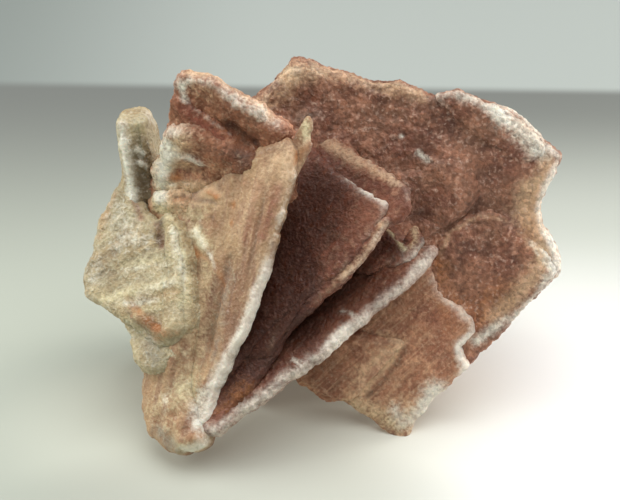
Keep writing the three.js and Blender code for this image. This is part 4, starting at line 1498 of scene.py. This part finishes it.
@dataclass
class WidePlates(Assembly):
    """The wide plate that closes the back and the smaller one before its foot."""

    back: Blade = Blade(
        name="back_plate", index=4, at=(0, 12, 76), turn=-6, lean=15,
        sheets=[
            Sheet(6, [
                (-18, -12), (-13.5, 2), (-9, 5), (-5, 10.5), (0, 11), (8.5, 8.5), (15, 7), (22, 6.5),
                (29.5, 4), (36, 5), (43, 2.5), (50, 0.5), (56.5, -4.5), (61.5, -10), (58.5, -17),
                (57.5, -25), (63.5, -37), (56.5, -46), (47, -57), (41, -64), (34, -70), (27, -75.5),
                (16, -76), (9.5, -70.5), (-6, -62), (-15, -46), (-19, -30),
            ]),
            # A raised sheet on the lower right, with a curved upper edge.
            Sheet(3, [
                (33.3, -35.8), (34, -31.2), (36.4, -28), (40.6, -24.9), (45, -24), (49.2, -25.3),
                (53, -28.1), (56.4, -31.6), (61.5, -37.2), (56, -46), (47, -56.5), (41, -63), (27, -64),
                (24, -50), (29, -42),
            ], 3.1),
            # A low swollen patch in the middle of the plate.
            Sheet(3.4, [
                (21, -17), (28.5, -14), (33, -12), (37.5, -12.4), (41, -16), (41.3, -20.5), (38, -25.2),
                (34.4, -29), (30, -30.5), (22, -33), (15, -27),
            ], 2.7),
            # The thick druse ridge along the top right.
            Sheet(3, [
                (31.4, 4.8), (37, 4.8), (41.5, 3), (46.5, 1), (51.5, -1.7), (56, -5.6), (57.6, -8.2),
                (55, -9.6), (50, -8.8), (45, -6.2), (41.4, -4.4), (38.4, -1.6), (34, 1.6),
            ], 2.4),
            # A lamina on the rear face.
            Sheet(3, [
                (-11, 2), (4, 6), (18, 2), (30, 0), (39, -10), (33, -19), (37, -31), (22, -40), (4, -36),
                (-14, -28),
            ], -2.6),
            # The swelling at the highest point.
            Sheet(4, [(-9, 3.5), (-4, 9), (3, 8), (7, 0), (2, -10), (-9, -12), (-14, -4)], 1.8),
        ],
        habit=Habit.DRUSE, finish=PINK_DRUSE, spacing=0.47, step_fillet=2, rim_white=0.05,
        white_edges=[
            # Partly painted glow: the right rim is whitened as if lit through from behind, besides its white
            # broken edge.
            mark(3.5, 0.9,
                (55.7, -1.8, 69), (55.2, -2.2, 61), (54.8, -4.1, 53.7), (57.5, -7, 44.1), (58.9, -8, 40.9)
            ),
            mark(3, 0.35, (28.6, 4.6, 82), (43.1, 2.6, 78.4), (55.7, -1.8, 69)),
            mark(3.5, 0.2,
                (-11.4, 10.4, 82), (-5.3, 11.1, 86.8), (2, 10, 85.6), (14.2, 8.1, 83.3), (26.2, 6.5, 82)
            ),
        ],
        bumps=[
            mark(1.8, 0.4,
                (28.6, 4, 82.2), (32.3, 4.5, 82), (38.4, 3.4, 79.2), (43.2, 1.6, 77), (49, 0.2, 74)
            ),
            mark(5, 1, (29, 1.5, 64.6), (32.7, 0.7, 61.1), (34, -0.5, 57.5)),
            mark(2, -0.7, (36.5, -1.8, 53.3), (31.2, -2.8, 49.4), (25.5, -1.4, 52.3)),
            mark(1.2, -0.6, (31.6, -4.4, 50.1), (38.9, -3.9, 54.6), (45, -4.8, 53.7), (51.2, -6.8, 48.7)),
            mark(3, 0.8, (-5.8, 10.8, 84.3), (-9.4, 10.4, 81)),
        ],
        rust=[
            mark(4.5, 0.5, (37.8, -10.6, 23), (39.6, -9.1, 29.4), (44.4, -8.2, 34.7)),
            mark(2.8, 0.65, (33.3, -7.8, 31.6), (30.6, -6.9, 33.9), (29.9, -5.3, 40.2)),
            mark(4, 0.35, (52.3, -3.2, 56.1), (51.3, -4.8, 49.9)),
        ],
        red=[mark(3, 0.3, (-5.3, 9.6, 82.1), (-0.9, 7.7, 77))],
        grey=[mark(2, 0.5, (-0.9, 7.7, 76), (-5.3, 7.8, 74.4))],
        dark_and_shade=[
            # The first is painted shade in the groove under the swelling.
            mark(3, 0.4, (36.5, -1.8, 54.3), (31.2, -2.8, 49.4), (25.5, -1.4, 52.3)),
            mark(6, 0.3, (5.7, 6.6, 74.4), (16.7, 4.9, 71.5), (26.4, 3.4, 68.5)),
            mark(5, 0.3, (38.8, -0.4, 61.5), (43.6, -0.1, 64.1)),
            mark(1.4, 0.3, (38, 1.6, 76), (41.5, 0.6, 73.5)), mark(5, 0.35, (21.8, 0.6, 58.2), (24, 0, 54)),
            mark(2, 0.3, (47.3, -1.8, 58.4), (44, -3, 56.5)),
        ],
        tan=[
            mark(3, 0.5, (-17.6, 8.4, 76.1), (-8.5, 9.5, 80.7), (-7, 10, 83.4)),
            mark(2.8, 0.65,
                (-8, 11.4, 84.6), (2, 10.4, 86.4), (9.3, 9.1, 84.9), (16.6, 7.8, 83.3), (23.9, 6.8, 82)
            ),
            mark(3.2, 0.6, (47.9, 0.9, 75.8), (51.6, -0.4, 72.4), (54.8, -1.9, 68.3)),
            mark(3.4, 0.9, (53, -2.6, 59), (53.4, -3.3, 55), (54.2, -4.8, 51), (55.6, -6.2, 46.6)),
            mark(3.2, 0.6, (49.8, -2.5, 59.7), (48.6, -3, 56), (50.4, -4.4, 52.2)),
            mark(3, 0.75, (43, -11.5, 29.4), (47, -10.9, 33), (50.6, -10.4, 37.4), (54.4, -9.2, 42.2)),
            mark(2.2, 0.6, (54.2, -1.6, 66), (53.2, -2.4, 61)),
            mark(0.8, 0.5, (29.3, -6.2, 43.6), (31.6, -4.4, 49.1), (38.9, -3.9, 53.6), (45, -4.8, 52.7)),
            mark(1, 0.5, (50.7, -6.7, 48.1), (54.9, -8.2, 43.9)),
        ],
        cream=[mark(1.8, 0.6, (54, -3.6, 54), (54.8, -5.4, 49), (54.4, -8.6, 43.6))],
        pale=[
            mark(1.6, 0.75,
                (38.4, -12.8, 22.4), (44.2, -11.2, 26.9), (46.8, -10.6, 28.2), (49.9, -10.2, 30.8),
                (53.1, -9.6, 33.8), (55.4, -9.2, 38.8), (57.6, -7.8, 41.8)
            ),
            mark(2, 0.8, (44, 7.4, 78.6), (48.6, 6.4, 75.9), (53, 4, 72.4)),
            mark(1.7, 0.7, (28.6, 4, 82.2), (32.3, 4.5, 82.7), (38.4, 4.4, 80.6), (43.2, 2.6, 78.3)),
            mark(2.2, 0.7, (43.2, 2.6, 78.3), (47.9, 0.5, 75.9), (51.6, -0.7, 72.4), (54.2, -1.4, 68.7)),
            mark(2.8, 0.4, (44.4, 1.2, 75.5), (48.1, -0.1, 72.4), (51.4, -0.9, 69.4)),
            mark(1, 0.35, (40, 0.6, 71.5), (43.5, -0.4, 69)),
            mark(0.9, 0.8, (23.6, 2.9, 67.5), (26, 2.1, 65.7)), mark(0.7, 0.7, (19.6, 4.3, 71.2)),
            mark(0.7, 0.4, (51.2, -6.8, 47.7), (55.8, -9, 41.5)),
        ],
    )
    lower: Blade = Blade(
        name="lower_plate", index=3, at=(24, -19, 0), turn=-4, lean=20,
        sheets=[
            Sheet(4, [
                (3.5, 43.5), (5.5, 38.5), (11, 33), (15.5, 29.5), (16, 26.5), (13, 23), (14.5, 18),
                (12, 14.5), (6, 8.5), (2, 2), (0.5, -1.2), (-2.5, -1.2), (-10, 4), (-15.5, 7.5), (-20.5, 8),
                (-27, 12.5), (-34, 22), (-34, 36), (-24, 46), (-8, 49),
            ]),
            # A raised sheet that ends in a square corner half way along the plate.
            Sheet(2.4, [
                (-1.8, 23.9), (-1.1, 23.4), (-3, 21.6), (-9.2, 14), (-14.2, 9), (-20.5, 9.5), (-26, 13.5),
                (-31, 22), (-25, 31), (-14.5, 26), (-7, 24.6),
            ], 2.5),
        ],
        habit=Habit.STRIATED, finish=STRIATED_PLATE, spacing=0.42, rim_white=0.15,
        white_edges=[
            # Partly painted glow on the notch's rim, besides its white broken edge.
            mark(4, 0.8, (34.2, -14.3, 23.9), (35.3, -16.1, 19.1), (37, -17.1, 16.8)),
            mark(4, 0.35, (28.3, -9.2, 36.7), (33.1, -10.7, 33.4), (36.4, -13.1, 27.5)),
            mark(4, 0.4, (19.8, -21, 2.8), (26, -20.5, 6)),
        ],
        pale=[
            mark(3.4, 1, (27.4, -18.8, 8.7), (28.8, -18.2, 10.8)),
            mark(2.2, 0.6, (18.6, -19.3, 6.1), (20.6, -20.4, 3.2), (25.9, -19.6, 6.3)),
            mark(1.2, 0.5, (35.2, -15.2, 21.5), (34.5, -16.5, 17.9)),
        ],
        cream=[mark(3.2, 0.6, (8, -19.5, 7), (14, -20.5, 4.8), (19.8, -21, 2.8), (25.5, -20.5, 6.6))],
        tan=[
            # The first is a painted highlight along the lower edge of the raised sheet.
            mark(0.8, 0.9, (20, -14.6, 22.8), (17.3, -15.1, 18.3), (13.6, -16.4, 14), (10.1, -17.5, 10.3)),
            mark(0.7, 0.6, (14, -12.6, 25), (19.9, -14.4, 23.4)),
            mark(3.2, 0.5, (18.2, -14.8, 22.4), (14, -16, 19.6), (9, -17, 14)),
            mark(3.4, 0.5, (8, -19, 8.5), (14, -20, 6.8), (24, -19.6, 8)),
        ],
        rust=[mark(2, 0.4, (29.4, -10.5, 33.2), (31.9, -13.3, 26.2))],
        red=[mark(4, 0.35, (29.4, -12.3, 28.5), (33.1, -12, 29.8), (31, -14.5, 22.4))],
        dark_and_shade=[
            mark(6, 0.3, (2.2, -16, 16), (-4, -16, 18)),
            # Painted shadow beside the lower edge of the raised sheet.
            mark(0.9, 0.6, (21.2, -14.4, 21.6), (18.9, -15.6, 17.2), (15.2, -17, 13), (11.8, -18, 9.6)),
        ],
    )


@dataclass
class RearBlades(Assembly):
    """Four blades below and behind, which carry the rosette."""

    root: Blade = Blade(
        name="root_blade", index=9, at=(-17, 0, 0), turn=-60, lean=14,
        sheets=[
            Sheet(6, [(-8, -1.5), (6, -1.5), (14, 12), (15, 30), (2, 46), (-14, 40), (-16, 16)]),
        ],
        habit=Habit.DRUSE, finish=PINK_DRUSE, spacing=0.8, rim_white=0.3,
    )
    prop: Blade = Blade(
        name="rear_prop", index=10, at=(-4, 34, 0), turn=168, lean=30,
        sheets=[
            Sheet(5.4, [
                (-13, -1.5), (9, -1.5), (17, 4), (29, 21), (25, 31), (27, 41), (15, 48), (12, 60), (0, 67),
                (-15, 59), (-24, 55), (-28, 37), (-25, 22), (-27, 12),
            ]),
            Sheet(3, [(-24, 14), (-6, 9), (7, 24), (3, 33), (6, 44), (-9, 54), (-22, 50), (-25, 36)], 2.4),
        ],
        habit=Habit.DRUSE, finish=PINK_DRUSE, spacing=0.55, rim_white=0.5,
    )
    fin: Blade = Blade(
        name="rear_fin", index=11, at=(24, 8, 10), turn=74, lean=10,
        sheets=[
            Sheet(5, [
                (-6, -4), (4, -11.5), (14, -11.5), (22, -5), (31, 12), (28, 22), (31, 34), (19, 42),
                (14, 52), (0, 58), (-8, 44),
            ]),
            Sheet(2.6, [(2, -8), (14, -6), (22, 9), (19, 24), (20, 36), (8, 44), (-4, 36), (-4, 4)], -2.4),
        ],
        habit=Habit.STRIATED, finish=STRIATED_PLATE, spacing=0.55, rim_white=0.6,
    )
    rear_left: Blade = Blade(
        name="rear_left_blade", index=12, at=(-27, 22, 20), turn=-152, lean=28,
        sheets=[
            Sheet(5, [
                (-15, -21), (2, -24), (12, -21), (17, -9), (25, -1), (20, 11), (22, 22), (9, 34), (-5, 41),
                (-17, 33), (-18, 19), (-27, 7), (-22, -8),
            ]),
            Sheet(2.8, [
                (-13, -14), (4, -18), (13, -4), (11, 9), (14, 19), (2, 28), (-9, 22), (-19, 6),
            ], 2.2),
        ],
        habit=Habit.CRUST, finish=CREAM_CRUST, spacing=0.55, rim_white=0.5,
    )


# Studio


@dataclass
class Lamp:
    """A soft rectangular studio lamp that looks at the specimen."""

    name: str
    place: Place
    target: Place
    width: float
    height: float
    watts: float
    tone: str

    def build(self) -> None:
        """Put the lamp in its place, turned to its target."""
        data = bpy.data.lights.new(self.name, "AREA")
        data.shape = "RECTANGLE"
        data.size = self.width
        data.size_y = self.height
        data.energy = self.watts
        data.color = colour(self.tone)[:3]
        lamp = bpy.data.objects.new(self.name, data)
        bpy.context.scene.collection.objects.link(lamp)
        lamp.location = self.place
        lamp.rotation_euler = direction_to(self.place, self.target)


def direction_to(place: Place, target: Place) -> Euler:
    """The turn that makes a lamp at a place look at a target."""
    return (Vector(target) - Vector(place)).to_track_quat("-Z", "Y").to_euler()


@dataclass
class Studio:
    """Pale floor, soft light and the camera."""

    floor_span: float = 6.0
    far_line: float = 0.186
    far_slope: float = -0.03
    far_softness: float = 0.004
    camera_place: Place = (-0.00285, -0.39065, 0.267)
    camera_pitch: float = 60.0
    lens_mm: float = 104.5
    floor_tone: str = "#b5bbb0"
    shaded_tone: str = "#757875"
    lit_tone: str = "#d8dcd6"
    bright_tone: str = "#ffffff"
    far_tone: str = "#aab1ae"
    far_shaded_tone: str = "#868d8a"
    glow_tone: str = "#f0e3cc"
    world_tone: str = "#dfe6e6"
    world_strength: float = 0.10
    lamps: list[Lamp] = field(
        default_factory=lambda: [
            Lamp("ceiling", (0.14, -0.12, 0.95), (0.0, 0.0, 0.0), 1.0, 1.0, 11.0, "#fffefc"),
            Lamp("window", (0.90, 0.42, 0.32), (0.03, 0.0, 0.05), 0.5, 0.4, 7.0, "#fffaf2"),
            Lamp("left_panel", (-0.98, 0.05, 0.50), (0.0, 0.0, 0.04), 0.8, 0.7, 9.0, "#f9fbf6"),
        ]
    )

    def build(self) -> None:
        """Build the floor, the lamps, the surrounding light and the camera."""
        self.floor()
        for lamp in self.lamps:
            lamp.build()
        world = bpy.data.worlds.new("studio")
        world.use_nodes = True
        ground = world.node_tree.nodes["Background"]
        ground.inputs[0].default_value = colour(self.world_tone)
        ground.inputs[1].default_value = self.world_strength
        bpy.context.scene.world = world
        bpy.context.scene.view_settings.view_transform = "Standard"
        self.camera()

    def floor(self) -> None:
        """A wide plane at the height of the feet, with painted light and shade on it.

        The paper is pale before and beside the specimen, with painted shade towards the far line, a painted
        pool of light on the right that turns white at the front right, a painted shadow before the foot,
        and past the far line it is the backdrop's tone, with painted shade on its left.
        """
        half = self.floor_span / 2
        corners = np.array([[-half, -half, 0], [half, -half, 0], [half, half, 0], [-half, half, 0]])
        floor = bpy.data.objects.new("floor", mesh_of("floor", corners, np.array([[0, 1, 2, 3]])))
        bpy.context.scene.collection.objects.link(floor)
        g = Graph("paper_with_painted_light")
        place = g.add("ShaderNodeTexCoord").outputs["Object"]
        x, y = g.add("ShaderNodeSeparateXYZ", {0: place}).outputs[:2]

        def oval(middle: tuple[float, float], reach: tuple[float, float]) -> bpy.types.NodeSocket:
            """Sum of the squares of (place − middle)/reach along x and y.

            Args:
                middle: The oval's middle, in metres.
                reach: Its half widths, in metres.

            Returns:
                A value that is 1 on the oval and 0 in its middle.
            """
            links: dict[int, Feed] = {0: place, 1: (*middle, 0.0)}
            away = g.add("ShaderNodeVectorMath", links, operation="SUBTRACT").outputs[0]
            links = {0: away, 1: (*reach, 1.0)}
            share = g.add("ShaderNodeVectorMath", links, operation="DIVIDE").outputs[0]
            links = {0: share, 1: share}
            return g.add("ShaderNodeVectorMath", links, operation="DOT_PRODUCT").outputs["Value"]

        # The tones, by the way to the right and the way back from the middle in metres: painted shade,
        # painted light and a painted shadow.
        far, near = self.far_line + self.far_softness, self.far_line - self.far_softness
        painted_shadow = (oval((-0.02, -0.046), (0.062, 0.024)), 1.0, 0.1, 0.0, 0.3)
        links = {0: x, 1: -self.far_slope, 2: y}
        behind = g.add("ShaderNodeMath", links, operation="MULTIPLY_ADD").outputs[0]
        rises = [(x, -0.14, -0.01, 0.0, 1.0)]
        backdrop = g.layer(colour(self.far_shaded_tone), colour(self.far_tone), rises)
        base = colour(self.floor_tone)
        for tone, rises in (
            (colour(self.shaded_tone), [(y, 0.02, 0.19, 0.0, 1.0)]),
            (colour(self.lit_tone), [(x, -0.09, 0.05, 0.0, 1.0), (y, 0.17, 0.08, 0.0, 0.4)]),
            (colour(self.bright_tone), [(x, 0.0, 0.075, 0.0, 1.0), (y, 0.09, 0.0, 0.0, 1.0)]),
            (colour(self.shaded_tone), [painted_shadow]),
            (backdrop, [(behind, near, far, 0.0, 1.0)]),
        ):
            base = g.layer(base, tone, rises)

        # The paper glows faintly round the foot: painted light, so that the shadow there stays light.
        links = {0: oval((-0.012, -0.018), (0.085, 0.05)), 1: 1.0, 2: 0.15, 3: 0.0, 4: 0.17}
        painted_glow = g.add("ShaderNodeMapRange", links, interpolation_type="SMOOTHSTEP").outputs[0]
        links = {"Base Color": base, "Roughness": 0.7, "Emission Color": colour(self.glow_tone)}
        shader = g.add("ShaderNodeBsdfPrincipled", {**links, "Emission Strength": painted_glow})
        g.add("ShaderNodeOutputMaterial", {"Surface": shader.outputs[0]})
        floor.data.materials.append(g.material)

    def camera(self) -> None:
        """The camera, above the front and looking down on the specimen."""
        data = bpy.data.cameras.new("camera")
        data.lens = self.lens_mm
        data.sensor_width = 36.0
        camera = bpy.data.objects.new("camera", data)
        bpy.context.scene.collection.objects.link(camera)
        camera.location = self.camera_place
        camera.rotation_euler = (math.radians(self.camera_pitch), 0.0, 0.0)
        bpy.context.scene.camera = camera


def main() -> None:
    logging.basicConfig(level=logging.INFO, format="%(name)s %(message)s")
    finishes = [PINK_DRUSE, RUST_DRUSE, STRIATED_PLATE, CREAM_CRUST, TAN_COVER, MAROON_LEAF]
    wardrobe = {finish.name: finish.build() for finish in finishes}
    assemblies = [Fan(), LeftBlades(), WidePlates(), RearBlades()]
    blades = [blade for assembly in assemblies for blade in assembly.blades()]
    slabs = [Slab(blade, sheet, i) for blade in blades for i, sheet in enumerate(blade.sheets)]
    maker = BladeMaker(slabs)
    for assembly in assemblies:
        pieces = assembly.build(maker)
        assembly.dress(pieces, wardrobe)
    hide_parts(NODE)
    Studio().build()


if __name__ == "__main__":
    main()
